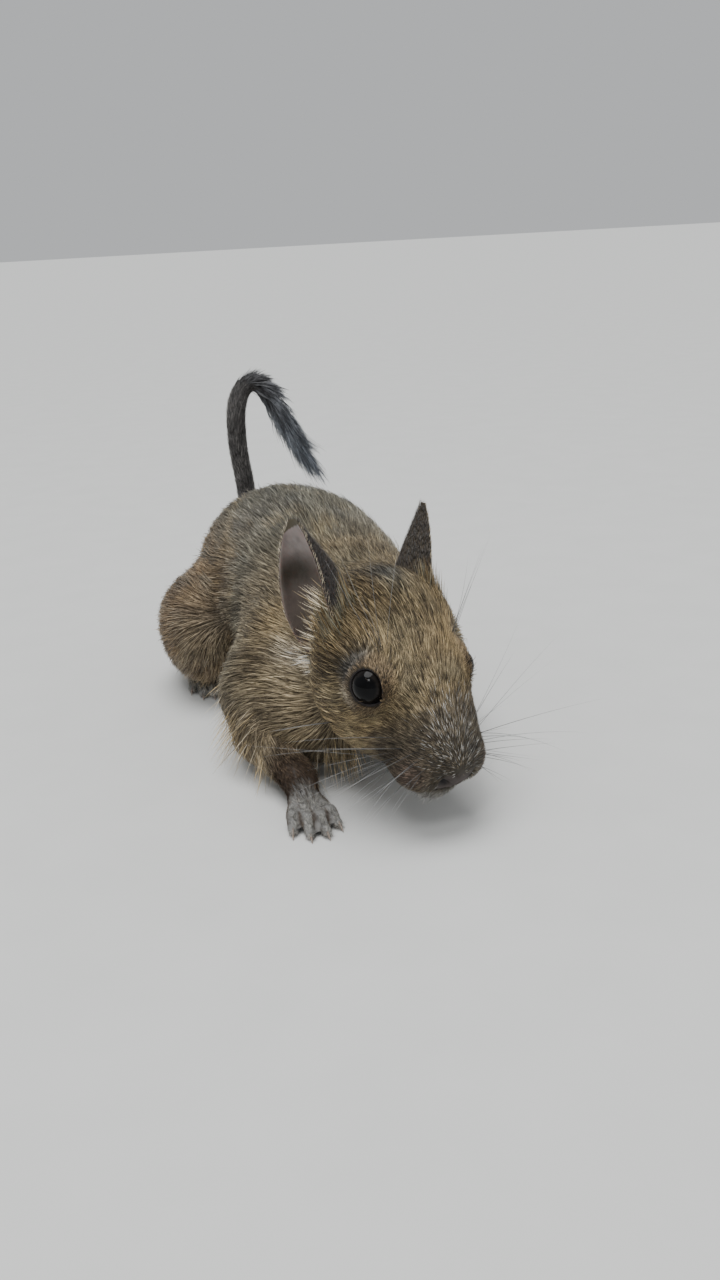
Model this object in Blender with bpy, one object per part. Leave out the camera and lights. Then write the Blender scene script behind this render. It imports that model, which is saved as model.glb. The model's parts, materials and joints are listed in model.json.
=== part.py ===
"""A degu crouching on the floor, as a still, life-size museum model, in metres with +Z up.

The animal faces -Y, its right side is -X, and its feet stand on z = 0. Every form is a ball, a
tapered limb or a curved sheet with a few named sizes in millimetres. The forms of the body melt
into one another, and the whole is then parted into head, neck, torso and legs by thin cuts.
"""

import math
import random

import bmesh
import bpy
import numpy as np
from mathutils import Matrix, Vector

MM = 0.001
GAP = 0.3

# Driving sizes of the animal, in millimetres.
HEAD_LENGTH = 46.0
TORSO_LENGTH = 92.0
BACK_HEIGHT = 52.0
EYE_RADIUS = 4.1
EAR_HEIGHT = 27.5
EAR_WIDTH = 15.0
FINGER_LENGTH = 8.2
HIND_TOE_LENGTH = 8.5
TAIL_RADIUS = 3.3
LOCK_LENGTH = 15.5
LOCK_WIDTH = 2.6

# The sizes that the numbers of the forms below were written for.
REFERENCE_HEAD = 46.0
REFERENCE_TORSO = 92.0
REFERENCE_BACK = 52.0

# The pose: where the middle of the eyes is, and how the head turns on the neck.
HEAD_PLACE = (-0.5, -77.0, 29.3)
HEAD_YAW = 13.0
HEAD_PITCH = 24.0
HEAD_ROLL = -4.0

# The whole is set so that its box is centred on the origin.
CENTRE_SHIFT = (0.0, 18.3, 0.0)

# Colour and roughness of each kind of surface.
COLOURS = {
    "fur": ((0.235, 0.175, 0.105), 0.85),
    "ear": ((0.17, 0.13, 0.125), 0.7),
    "eye": ((0.006, 0.006, 0.008), 0.06),
    "paw": ((0.36, 0.34, 0.32), 0.8),
    "brush": ((0.045, 0.042, 0.045), 0.8),
}


def unit(vector):
    vector = np.asarray(vector, float)
    return vector / np.linalg.norm(vector)


def turn(yaw=0.0, pitch=0.0, roll=0.0):
    """Rotation for a body that faces -Y: yaw swings it to its left, pitch lowers its nose, roll lifts its left side."""
    about_z = Matrix.Rotation(math.radians(yaw), 3, "Z")
    about_x = Matrix.Rotation(math.radians(pitch), 3, "X")
    about_y = Matrix.Rotation(math.radians(-roll), 3, "Y")
    return np.array(about_z @ about_x @ about_y)


class Frame:
    """A place and a turn. Local axes: x to the animal's left, y backwards and z up, as in the world."""

    def __init__(self, origin=(0, 0, 0), rotation=None, scale=1.0):
        self.origin = np.array(origin, float)
        self.rotation = np.eye(3) if rotation is None else rotation
        self.scale = scale

    def point(self, local):
        return self.origin + self.rotation @ (np.asarray(local, float) * self.scale)

    def points(self, local):
        return self.origin + (np.asarray(local, float) * self.scale) @ self.rotation.T


BODY = Frame()
HEAD = Frame(
    HEAD_PLACE, turn(HEAD_YAW, HEAD_PITCH, HEAD_ROLL), HEAD_LENGTH / REFERENCE_HEAD
)


# Each foreleg by its side: its elbow, its wrist and how far the foot turns out, in degrees.
FORELEGS = {
    -1: (np.array((-23.0, -45.0, 9.0)), np.array((-21.3, -64.0, 5.4)), 5.0),
    1: (np.array((19.5, -31.0, 9.0)), np.array((14.0, -47.0, 5.4)), 2.0),
}

# Each eye by its side in the head's frame, as if on the animal's left, and the way it looks.
EYE_PLACES = {-1: np.array((10.3, -0.6, 0.3)), 1: np.array((9.6, -0.6, 0.2))}
EYE_AXIS = unit((0.84, -0.44, 0.31))


class Ball:
    """An ellipsoid in a frame, which melts into its neighbours over the width blend."""

    def __init__(self, centre, radii, rotation=None, frame=BODY, blend=6.0):
        self.centre = frame.point(centre)
        self.radii = np.array(radii, float) * frame.scale
        self.axes = frame.rotation @ (np.eye(3) if rotation is None else rotation)
        self.blend = blend

    def distance(self, points):
        local = (points - self.centre) @ self.axes
        near = np.linalg.norm(local / self.radii, axis=1)
        slope = np.linalg.norm(local / self.radii**2, axis=1)
        return near * (near - 1.0) / np.maximum(slope, 1e-9)

    def add_shell(self, mesh):
        scale = Matrix(np.diag(self.radii).tolist())
        matrix = (Matrix(self.axes.tolist()) @ scale).to_4x4()
        matrix.translation = Vector(self.centre)
        bmesh.ops.create_icosphere(mesh, subdivisions=3, radius=1.0, matrix=matrix)


class Limb:
    """A round limb that tapers from one point to another."""

    def __init__(self, start, end, start_radius, end_radius, frame=BODY, blend=4.0):
        self.start = frame.point(start)
        self.end = frame.point(end)
        self.radii = (start_radius * frame.scale, end_radius * frame.scale)
        self.blend = blend

    def distance(self, points):
        along = self.end - self.start
        share = np.clip((points - self.start) @ along / (along @ along), 0.0, 1.0)
        nearest = self.start + share[:, None] * along
        radius = self.radii[0] + (self.radii[1] - self.radii[0]) * share
        return np.linalg.norm(points - nearest, axis=1) - radius

    def add_shell(self, mesh):
        steps = max(2, int(np.linalg.norm(self.end - self.start) / min(self.radii)) + 1)
        for share in np.linspace(0.0, 1.0, steps + 1):
            place = self.start + (self.end - self.start) * share
            radius = self.radii[0] + (self.radii[1] - self.radii[0]) * share
            matrix = Matrix.Translation(Vector(place))
            bmesh.ops.create_icosphere(
                mesh, subdivisions=2, radius=radius * 1.02, matrix=matrix
            )


def melt(first, second, width):
    """The smooth union of two distances."""
    overlap = np.maximum(width - np.abs(first - second), 0.0) / width
    return np.minimum(first, second) - overlap * overlap * width * 0.25


def torso_forms():
    t = TORSO_LENGTH / REFERENCE_TORSO
    h = BACK_HEIGHT / REFERENCE_BACK
    forms = [
        Ball((3.5, 3 * t, 27.5 * h), (23.5, 37 * t, 24 * h), blend=8),
        Ball((3, 20 * t, 25.5 * h), (22, 25 * t, 22 * h), blend=8),
        Ball((2, -24 * t, 25.5 * h), (21.5, 29 * t, 19.5 * h), blend=10),
        Ball((0, 34 * t, 19 * h), (13, 12 * t, 12 * h), blend=8),
    ]
    for side in (-1, 1):
        forms.append(Ball((side * 15 + 0.5, -37 * t, 18.5 * h), (13, 16 * t, 14.5 * h), blend=8))
        forms.append(
            Ball(
                (side * 21, 13 * t, 17),
                (12.5, 21 * t, 15),
                turn(yaw=side * 8, pitch=-14),
                blend=7,
            )
        )
    return forms


def neck_forms():
    return [
        Limb((2, -38, 26), (0, -58, 32), 18, 15, blend=10),
        Ball((-11, -51.5, 14), (12, 11.5, 11.5), blend=9),
    ]


def head_forms():
    """The skull, muzzle, jaw and cheeks, in the head's frame: the eyes' middle is its origin."""
    forms = [
        Ball((0, 10, 0.6), (13.3, 15.5, 12.3), frame=HEAD, blend=5),
        Ball((0, -2.0, -2.6), (11.3, 13.5, 10.4), turn(pitch=26), frame=HEAD, blend=6),
        Ball((0, -11, -7.4), (9.7, 9.6, 7.7), turn(pitch=22), frame=HEAD, blend=5),
        Ball((0, -17.3, -9.4), (3.7, 3.6, 3.5), frame=HEAD, blend=3),
        Ball((0, -5.5, -13.7), (6.6, 11, 5.2), frame=HEAD, blend=5),
        Ball((0, -14.4, -15.8), (4.4, 3.8, 3.2), frame=HEAD, blend=3),
    ]
    for side in (-1, 1):
        forms += [
            Ball((side * 5.1, -13.9, -10.3), (5.3, 5.6, 5.0), frame=HEAD, blend=2.5),
            Ball((side * 7.4, 4.0, -8.8), (7.8, 12.5, 8.6), frame=HEAD, blend=6),
            Ball((side * 8.6, 12.0, 2.0), (5.5, 6.5, 6.5), frame=HEAD, blend=6),
            Ball(EYE_PLACES[side] * (side, 1, 1), [EYE_RADIUS + 0.8] * 3, frame=HEAD, blend=2.4),
        ]
    return forms


def leg_forms():
    forms = []
    for side in (-1, 1):
        elbow, wrist, _ = FORELEGS[side]
        shoulder = elbow + np.array((side * -1.0, 9, 5))
        forms += [
            Limb(shoulder, elbow, 8.6, 6.8, blend=6),
            Limb(elbow, wrist, 6.6, 3.6, blend=3),
            Limb((side * 23, 8, 11.5), (side * 19.0, 31, 9), 6.5, 4.8, blend=5),
        ]
    return forms


def body_forms():
    return torso_forms() + neck_forms() + head_forms() + leg_forms()


def field(points, forms):
    total = forms[0].distance(points)
    for form in forms[1:]:
        total = melt(total, form.distance(points), form.blend)
    return total


def settle(points, forms, outside=0.0, rounds=4, step=0.05):
    """Moves points onto the melted surface, or so far outside it, along the slope of the distance."""
    for _ in range(rounds):
        here = field(points, forms)
        slope = np.stack(
            [field(points + offset, forms) - here for offset in np.eye(3) * step], 1
        )
        slope /= np.maximum(np.linalg.norm(slope, axis=1, keepdims=True), 1e-9)
        points = points - slope * (here - outside)[:, None]
    return points


def read_points(mesh):
    flat = np.empty(len(mesh.vertices) * 3, np.float32)
    mesh.vertices.foreach_get("co", flat)
    return flat.reshape(-1, 3).astype(float)


def write_points(mesh, points):
    mesh.vertices.foreach_set("co", np.asarray(points, np.float32).ravel())
    mesh.update()


def add_object(name, mesh):
    made = bpy.data.objects.new(name, mesh)
    bpy.context.scene.collection.objects.link(made)
    return made


def apply_modifiers(target):
    """The target's mesh becomes what its modifiers make of it."""
    graph = bpy.context.evaluated_depsgraph_get()
    mesh = bpy.data.meshes.new_from_object(target.evaluated_get(graph))
    target.modifiers.clear()
    target.data = mesh


def grown(name, forms, voxel, triangles, outside=0.0):
    """One closed skin over the forms, with about so many triangles, in millimetres."""
    mesh = bmesh.new()
    for form in forms:
        form.add_shell(mesh)
    data = bpy.data.meshes.new(name)
    mesh.to_mesh(data)
    mesh.free()
    target = add_object(name, data)
    remesh = target.modifiers.new("Skin", "REMESH")
    remesh.mode = "VOXEL"
    remesh.voxel_size = voxel
    apply_modifiers(target)
    write_points(target.data, settle(read_points(target.data), forms, outside))
    reduce_to(target, triangles)
    return target


def reduce_to(target, triangles):
    target.data.calc_loop_triangles()
    present = len(target.data.loop_triangles)
    if present > triangles:
        fewer = target.modifiers.new("Fewer", "DECIMATE")
        fewer.ratio = triangles / present
        fewer.use_collapse_triangulate = True
        apply_modifiers(target)


def solid_from(name, mesh):
    data = bpy.data.meshes.new(name)
    mesh.to_mesh(data)
    mesh.free()
    return add_object(name, data)


def boolean(target, other, operation, solver="EXACT"):
    cut = target.modifiers.new("Cut", "BOOLEAN")
    cut.operation = operation
    cut.object = other
    cut.solver = solver
    apply_modifiers(target)


def remove(*objects):
    for unwanted in objects:
        bpy.data.objects.remove(unwanted)


def copy_of(source, name):
    return add_object(name, source.data.copy())


def keep_largest(target):
    """Drops every closed surface but the largest."""
    mesh = bmesh.new()
    mesh.from_mesh(target.data)
    islands = []
    unseen = set(mesh.verts)
    while unseen:
        start = unseen.pop()
        island = {start}
        edge_of_island = [start]
        while edge_of_island:
            vertex = edge_of_island.pop()
            for edge in vertex.link_edges:
                other = edge.other_vert(vertex)
                if other not in island:
                    island.add(other)
                    edge_of_island.append(other)
        unseen -= island
        islands.append(island)
    islands.sort(key=len)
    for island in islands[:-1]:
        bmesh.ops.delete(mesh, geom=list(island), context="VERTS")
    mesh.to_mesh(target.data)
    mesh.free()
    return len(islands)


def ball_solid(name, centre, radii, rotation=None, segments=16, rings=12):
    mesh = bmesh.new()
    axes = np.eye(3) if rotation is None else rotation
    scale = Matrix(np.diag(np.asarray(radii, float)).tolist())
    matrix = (Matrix(axes.tolist()) @ scale).to_4x4()
    matrix.translation = Vector(centre)
    bmesh.ops.create_uvsphere(
        mesh, u_segments=segments, v_segments=rings, radius=1.0, matrix=matrix
    )
    return solid_from(name, mesh)


def box_solid(name, centre, size, rotation=None):
    mesh = bmesh.new()
    axes = np.eye(3) if rotation is None else rotation
    matrix = (Matrix(axes.tolist()) @ Matrix(np.diag(size).tolist())).to_4x4()
    matrix.translation = Vector(centre)
    bmesh.ops.create_cube(mesh, size=1.0, matrix=matrix)
    return solid_from(name, mesh)


def half_space(name, point, toward, size=400.0):
    """A large block whose one face lies on the point, filling the side it looks toward."""
    toward = unit(toward)
    across = unit(np.cross(toward, (0.3, 0.1, 1.0)))
    axes = np.stack([across, np.cross(toward, across), toward], 1)
    return box_solid(name, np.asarray(point) + toward * size / 2, (size,) * 3, axes)


def strip_solid(name, rows, closed_rows=True):
    """A closed surface through rows of points of one length, with flat ends."""
    mesh = bmesh.new()
    rings = [[mesh.verts.new(point) for point in row] for row in rows]
    count = len(rings[0])
    for lower, upper in zip(rings, rings[1:]):
        for i in range(count if closed_rows else count - 1):
            j = (i + 1) % count
            mesh.faces.new((lower[i], lower[j], upper[j], upper[i]))
    mesh.faces.new(rings[0][::-1])
    mesh.faces.new(rings[-1])
    bmesh.ops.recalc_face_normals(mesh, faces=mesh.faces)
    bmesh.ops.triangulate(mesh, faces=mesh.faces, quad_method="FIXED")
    return solid_from(name, mesh)


def join_all(target, pieces):
    """Fuses the pieces into the target in one union and keeps the one body that results."""
    group = bpy.data.collections.new("Pieces")
    bpy.context.scene.collection.children.link(group)
    for piece in pieces:
        bpy.context.scene.collection.objects.unlink(piece)
        group.objects.link(piece)
    union = target.modifiers.new("Join", "BOOLEAN")
    union.operation = "UNION"
    union.operand_type = "COLLECTION"
    union.collection = group
    union.solver = "EXACT"
    apply_modifiers(target)
    remove(*group.objects)
    bpy.data.collections.remove(group)
    keep_largest(target)


# The ear in the head's frame: the notch where its edges meet, and its tip.
EAR_NOTCH = np.array((11.4, 15.0, -3.8))
EAR_TIP = np.array((17.4, 27.4, 19.6))
EAR_THICKNESS = 0.9

# How far each ear's cup is turned outward from straight ahead, in degrees: the right one listens backward.
EAR_FACING = {-1: 88.0, 1: 72.0}

# How far each ear's edges curl, against the angles below.
EAR_CLOSING = {-1: 1.0, 1: 0.84}

# How broad each ear is beside the full width.
EAR_BREADTH = {-1: 1.0, 1: 0.74}

# Up the ear: how wide the leaf is, and how far its edge curls round on each side, in degrees.
EAR_STATIONS = (0.0, 0.12, 0.3, 0.5, 0.7, 0.86, 0.95, 1.0)
EAR_LEAF = (0.40, 0.80, 1.06, 1.04, 0.86, 0.57, 0.32, 0.1)
EAR_CURL = (168.0, 132.0, 106.0, 96.0, 80.0, 60.0, 46.0, 38.0)


def ear_axes(side):
    """The directions of one ear, as if on the left: up to the tip, out of the cup, and to its front edge."""
    up = unit(EAR_TIP - EAR_NOTCH)
    facing = math.radians(EAR_FACING[side])
    out = np.array((math.sin(facing), -math.cos(facing), 0.0))
    out = unit(out - up * (out @ up))
    return up, out, np.cross(out, up)


def ear_wall(side, rise, turned):
    """A place on the inside of the ear's wall and the direction to its outside, as if on the left."""
    up, out, front = ear_axes(side)
    half_width = np.interp(rise, EAR_STATIONS, EAR_LEAF) * EAR_WIDTH * EAR_BREADTH[side] / 2
    curl = math.radians(np.interp(rise, EAR_STATIONS, EAR_CURL)) * EAR_CLOSING[side]
    radius = half_width / math.sin(min(curl, math.pi / 2))
    angle = turned * curl
    outward = front * math.sin(angle) - out * math.cos(angle)
    lean = 1.6 * rise * (1 - rise) - 1.2 * rise**2
    axis = EAR_NOTCH + up * rise * EAR_HEIGHT + out * (lean + radius * math.cos(curl))
    return axis + outward * radius, outward


def ear_solid(name, side, steps_up=12, steps_round=9):
    """The thin cup of one ear: its inside and outside walls are split into the same triangles."""
    mesh = bmesh.new()
    inner, outer = [], []
    for i in range(steps_up + 1):
        rise = 1 - (1 - i / steps_up) ** 1.25
        inner_row, outer_row = [], []
        for j in range(steps_round + 1):
            place, outward = ear_wall(side, rise, 2 * j / steps_round - 1)
            thickness = EAR_THICKNESS * (1 - 0.35 * rise)
            for row, point in ((inner_row, place), (outer_row, place + outward * thickness)):
                row.append(mesh.verts.new(HEAD.point(point * (side, 1, 1))))
        inner.append(inner_row)
        outer.append(outer_row)
    for i in range(steps_up):
        for j in range(steps_round):
            for grid in (inner, outer):
                a, b = grid[i][j], grid[i][j + 1]
                c, d = grid[i + 1][j + 1], grid[i + 1][j]
                mesh.faces.new((a, b, c))
                mesh.faces.new((a, c, d))
    rim = (
        [(inner[i][0], outer[i][0]) for i in range(steps_up)]
        + [(inner[-1][j], outer[-1][j]) for j in range(steps_round)]
        + [(inner[i][-1], outer[i][-1]) for i in range(steps_up, 0, -1)]
        + [(inner[0][j], outer[0][j]) for j in range(steps_round, 0, -1)]
    )
    for (a, b), (c, d) in zip(rim, rim[1:] + rim[:1]):
        mesh.faces.new((a, b, d))
        mesh.faces.new((a, d, c))
    bmesh.ops.recalc_face_normals(mesh, faces=mesh.faces)
    return solid_from(name, mesh)


def ear_pocket(side, steps_up=8, steps_round=9):
    """The room that one ear takes in the head: its outer wall with the gap, and the way out of the cup."""
    up, out, front = ear_axes(side)
    room = EAR_THICKNESS + GAP
    rows = []
    for i in range(steps_up + 1):
        rise = 0.85 * i / steps_up
        drop = up * (GAP if i == 0 else 0.0)
        row = []
        for j in range(steps_round + 1):
            place, outward = ear_wall(side, rise, 2 * j / steps_round - 1)
            row.append(place + outward * room - drop)
        row.append(row[-1] + out * 3.5 + front * 0.3)
        row.append(row[0] + out * 3.5 - front * 0.3)
        rows.append([HEAD.point(point * (side, 1, 1)) for point in row])
    return strip_solid("Pocket", rows)


def eye_solid(name, side):
    centre = HEAD.point(EYE_PLACES[side] * (side, 1, 1))
    axis = HEAD.rotation @ (EYE_AXIS * (side, 1, 1))
    across = unit(np.cross(axis, (0, 0, 1)))
    axes = np.stack([across, np.cross(axis, across), axis], 1)
    return ball_solid(name, centre, [EYE_RADIUS * HEAD.scale] * 3, axes, 16, 10)


def cut_away(target, *cutters):
    for cutter in cutters:
        boolean(target, cutter, "DIFFERENCE")
    remove(*cutters)


def lid_opening(side):
    """A cone from the middle of the eye outward, whose edge is the rim of the lids."""
    centre = HEAD.point(EYE_PLACES[side] * (side, 1, 1))
    axis = HEAD.rotation @ (EYE_AXIS * (side, 1, 1))
    up = unit(HEAD.rotation @ np.array((0, 0.35, 1.0)))
    up = unit(up - axis * (up @ axis))
    across = np.cross(up, axis)
    wide, tall = EYE_RADIUS * 0.8, EYE_RADIUS * 0.86
    rows = []
    for ahead, share in ((0.05, 0.1), (0.52, 1.0), (2.2, 1.3)):
        row = []
        for k in range(20):
            angle = math.tau * k / 20
            spread = across * math.cos(angle) * wide + up * math.sin(angle) * tall
            row.append(centre + axis * ahead * EYE_RADIUS + spread * share)
        rows.append(row)
    return strip_solid("Opening", rows)


# The line of the mouth on the left, from under the nose back to its corner, in the head's frame.
MOUTH_LINE = ((0, -18.6, -13.0), (2.6, -17.6, -13.6), (5.0, -14.2, -13.8), (6.6, -9.6, -13.2))
NOSTRIL = np.array((1.9, -20.2, -9.4))


def on_head(local):
    """The point of the head's own surface nearest to a point in the head's frame."""
    return settle(HEAD.points([local]), head_forms())[0]


def groove(points, radius):
    """A rounded cutter along a line of points."""
    forms = []
    for start, end in zip(points, points[1:]):
        forms.append(Limb(start, end, radius, radius, blend=0.2))
    return grown("Groove", forms, 0.22, 240)


def cut_face(head):
    """Sockets, the rims of the lids, nostrils and the line of the mouth."""
    for side in (-1, 1):
        centre = HEAD.point(EYE_PLACES[side] * (side, 1, 1))
        socket = ball_solid("Socket", centre, [EYE_RADIUS * HEAD.scale + GAP] * 3, None, 18, 12)
        cut_away(head, socket, lid_opening(side))
        hole = on_head(NOSTRIL * (side, 1, 1))
        slant = HEAD.rotation @ turn(yaw=side * 28, pitch=-20, roll=side * 30)
        cut_away(head, ball_solid("Nostril", hole, (0.85, 1.3, 0.5), slant, 10, 6))
    line = [on_head(np.array(p) * (-1, 1, 1)) for p in MOUTH_LINE[:0:-1]]
    line += [on_head(p) for p in MOUTH_LINE]
    cut_away(head, groove(line, 0.42))
    keep_largest(head)


# The heel on the animal's left, and how far the foot turns out, in degrees.
HINDFOOT_HEEL = np.array((18.0, 33.0, 2.9))
HINDFOOT_TURN = 9.0


def toe_forms(frame, root, heading, length, radius):
    """One toe in the foot's frame: up over the knuckle and down to its pad on the floor."""
    direction = np.array((math.sin(heading), -math.cos(heading), 0))
    knuckle = np.array(root) + direction * length * 0.45 + (0, 0, 0.5)
    pad = np.array(root) + direction * length * 0.9
    pad[2] = radius * 0.8
    return [
        Limb(root, knuckle, radius * 1.05, radius, frame=frame, blend=1.2),
        Limb(knuckle, pad, radius, radius * 0.92, frame=frame, blend=1.2),
    ]


def claw_solid(frame, root, heading, length, radius, claw):
    """A curved claw that leaves the upper half of the toe's end and points down to the floor."""
    direction = np.array((math.sin(heading), -math.cos(heading), 0))
    across = np.array((direction[1], -direction[0], 0))
    start = np.array(root) + direction * length * 0.82
    start[2] = radius * 1.25
    rows = []
    for share, size in ((0, 0.62), (0.4, 0.55), (0.75, 0.4), (1.0, 0.16)):
        place = start + direction * claw * share * 1.25
        place[2] = radius * 1.25 - (radius * 1.25 - 0.45) * share**2
        lift = np.array((0, 0, 1.0)) * size * 1.15
        row = []
        for k in range(6):
            angle = math.tau * k / 6
            row.append(place + across * size * math.cos(angle) + lift * math.sin(angle))
        rows.append(frame.points(row))
    return strip_solid("Claw", rows)


def forefoot_frame(side):
    _, wrist, out = FORELEGS[side]
    return Frame((wrist[0], wrist[1], 0), turn(yaw=side * out))


def hindfoot_frame(side):
    heel = HINDFOOT_HEEL
    return Frame((side * heel[0], heel[1], 0), turn(yaw=side * HINDFOOT_TURN))


# Each toe: how far to its side, forward of the joint, its heading in degrees and its share of the length.
FINGERS = ((-3.1, 7.2, -12, 0.86), (-1.1, 8.2, -3, 1.05), (1.1, 8.2, 5, 1.02), (3.1, 7.0, 14, 0.84))
HIND_TOES = (
    (-3.6, 19.5, -14, 0.72),
    (-1.9, 21.8, -6, 1.0),
    (0.0, 22.4, 0, 1.05),
    (1.9, 21.8, 6, 1.0),
    (3.6, 19.3, 15, 0.75),
)


def foot_toes(side, toes, length, height):
    """The root, heading and length of each toe of one foot."""
    found = []
    for across, ahead, heading, share in toes:
        root = (side * across, -ahead, height)
        found.append((root, math.radians(side * heading), length * share))
    return found


def forefoot_forms(side):
    frame = forefoot_frame(side)
    elbow, wrist, _ = FORELEGS[side]
    forms = [
        Limb(elbow, wrist, 6.6, 3.6, blend=2),
        Limb((0, 0, wrist[2]), (0, -4.0, 3.4), 3.6, 3.2, frame=frame, blend=3),
        Ball((0, -6.0, 2.0), (4.4, 4.6, 2.6), frame=frame, blend=2.5),
        Ball((side * -3.6, -4.6, 1.5), (1.4, 2.2, 1.3), frame=frame, blend=1.2),
    ]
    for root, heading, length in foot_toes(side, FINGERS, FINGER_LENGTH, 1.9):
        forms += toe_forms(frame, root, heading, length, 1.25)
    return forms


def hindfoot_forms(side):
    frame = hindfoot_frame(side)
    forms = [
        Limb((0, 0, 3.0), (0, -15, 2.6), 3.3, 3.2, frame=frame, blend=3),
        Ball((0, -18.5, 2.0), (4.8, 5.2, 2.7), frame=frame, blend=3),
    ]
    for root, heading, length in foot_toes(side, HIND_TOES, HIND_TOE_LENGTH, 2.0):
        forms += toe_forms(frame, root, heading, length, 1.3)
    return forms


def foot_solid(name, forms, frame, toes, radius, claw, triangles):
    """One foot with its claws, cut flat where it stands."""
    foot = grown(name, forms, 0.42, triangles)
    cut_away(foot, half_space("Ground", (0, 0, 0), (0, 0, -1)))
    claws = [claw_solid(frame, *toe, radius, claw) for toe in toes]
    join_all(foot, claws)
    return foot


# The line of the tail from inside the rump, up, over and down again.
TAIL_LINE = (
    (2.0, 36.0, 18.0),
    (2.5, 46.0, 21.0),
    (3.3, 51.5, 31.0),
    (3.4, 52.5, 43.0),
    (2.2, 52.6, 55.0),
    (2.4, 52.3, 66.0),
    (5.2, 51.8, 72.6),
    (9.2, 51.0, 72.4),
    (12.6, 49.8, 68.2),
    (15.7, 48.4, 61.4),
    (19.2, 47.2, 54.2),
)
TAIL_PARTS = {"tail_root": (0.0, 3.4), "tail_arch": (3.4, 5.7), "tail_brush": (5.7, 10.0)}
BRUSH_START = 6.3
BRUSH_LOCKS = 36


def tail_point(along):
    """A smooth curve through the tail's line, where whole numbers are its points."""
    last = len(TAIL_LINE) - 1
    k = min(int(along), last - 1)
    rest = along - k
    p = [np.array(TAIL_LINE[min(max(k + i, 0), last)], float) for i in (-1, 0, 1, 2)]
    return 0.5 * (
        2 * p[1]
        + (p[2] - p[0]) * rest
        + (2 * p[0] - 5 * p[1] + 4 * p[2] - p[3]) * rest**2
        + (3 * p[1] - p[0] - 3 * p[2] + p[3]) * rest**3
    )


def tail_heading(along):
    last = len(TAIL_LINE) - 1
    return unit(tail_point(min(along + 0.02, last)) - tail_point(max(along - 0.02, 0)))


def tail_radius(along):
    """Thick at the rump, then even, slimmer round the bend, and a slim core under the brush."""
    root = 1.25 - 0.25 * min(along / 2, 1)
    bend = 1 - 0.15 * math.exp(-(((along - 6.3) / 0.6) ** 2))
    brush = 1 - 0.6 * min(max((along - BRUSH_START) / 2.6, 0), 1)
    return TAIL_RADIUS * root * bend * brush


def tube(name, start, end, sides=12, spacing=0.3):
    rows = []
    across = np.array((1.0, 0, 0))
    for along in np.linspace(start, end, max(3, int((end - start) / spacing)) + 1):
        heading = tail_heading(along)
        across = unit(across - heading * (across @ heading))
        upright = np.cross(heading, across)
        row = []
        for k in range(sides):
            angle = math.tau * k / sides
            spread = across * math.cos(angle) + upright * math.sin(angle)
            row.append(tail_point(along) + spread * tail_radius(along))
        rows.append(row)
    return strip_solid(name, rows)


def lock_solid(root, heading, outward, length, width, bend):
    """A flat tapered lock of hair that leaves its root outward and bends back along the heading."""
    across = unit(np.cross(heading, outward))
    rows = []
    for share, size in ((0.0, 0.8), (0.35, 1.0), (0.7, 0.7), (1.0, 0.12)):
        rise = bend * (share - 0.55 * share**2)
        place = root + heading * length * share + outward * length * rise
        half = across * width * size / 2
        lift = outward * max(0.9 * size, 0.22) / 2
        rows.append([place + half, place + lift, place - half, place - lift])
    return strip_solid("Lock", rows)


def brush_locks():
    """The locks of the brush, wound round its core, longest at the end of the tail."""
    draw = random.Random(7)
    locks = []
    for k in range(BRUSH_LOCKS):
        share = (k + 0.5) / BRUSH_LOCKS
        along = BRUSH_START + 0.48 + 3.0 * share
        heading = tail_heading(along)
        side = unit(np.cross(heading, (0, 1.0, 0)))
        angle = k * 2.4 + draw.uniform(-0.2, 0.2)
        outward = side * math.cos(angle) + np.cross(heading, side) * math.sin(angle)
        root = tail_point(along) + outward * tail_radius(along) * 0.45
        length = LOCK_LENGTH * (0.6 + 0.3 * share) * draw.uniform(0.85, 1.12)
        width = LOCK_WIDTH * draw.uniform(0.85, 1.15)
        bend = (0.14 + 0.42 * math.sin(math.pi * share)) * draw.uniform(0.8, 1.2)
        locks.append(lock_solid(root, heading, outward, length, width, bend))
    return locks


def tail_solids():
    """The tail in three lengths, with a gap where they meet."""
    nodes = []
    for name, (start, end) in TAIL_PARTS.items():
        length = np.linalg.norm(tail_point(start + 0.01) - tail_point(start)) / 0.01
        first = start if start == 0 else start + GAP / length
        nodes.append(tube(name, first, end))
    join_all(nodes[-1], brush_locks())
    return nodes


def finish(target, kind):
    """Shifts a node to its place in metres, and gives it its material and smooth shading."""
    shift = np.array(CENTRE_SHIFT)
    write_points(target.data, (read_points(target.data) + shift) * MM)
    (red, green, blue), roughness = COLOURS[kind]
    material = bpy.data.materials.new(target.name)
    material.use_nodes = True
    shader = material.node_tree.nodes["Principled BSDF"]
    shader.inputs["Base Color"].default_value = (red, green, blue, 1.0)
    shader.inputs["Roughness"].default_value = roughness
    shader.inputs["Metallic"].default_value = 0.0
    target.data.materials.clear()
    target.data.materials.append(material)
    target.data.shade_smooth()
    target.data.set_sharp_from_angle(angle=math.radians(50))


def split(source, name, cutter, gap_cutter):
    """Takes the part of the source inside the cutter as a node of its own, and leaves a gap."""
    piece = copy_of(source, name)
    boolean(piece, cutter, "INTERSECT")
    cut_away(source, gap_cutter)
    remove(cutter)
    keep_largest(piece)
    keep_largest(source)
    return piece


def split_by_plane(source, name, point, toward):
    near = half_space("Near", point, toward)
    gap = half_space("Gap", np.asarray(point) - unit(toward) * GAP, toward)
    return split(source, name, near, gap)


def round_region(centre, radii, inset):
    """A smooth ball that parts a leg from the body, with the size of the gap added."""
    return ball_solid("Region", centre, np.asarray(radii, float) + inset, None, 18, 12)


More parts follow.
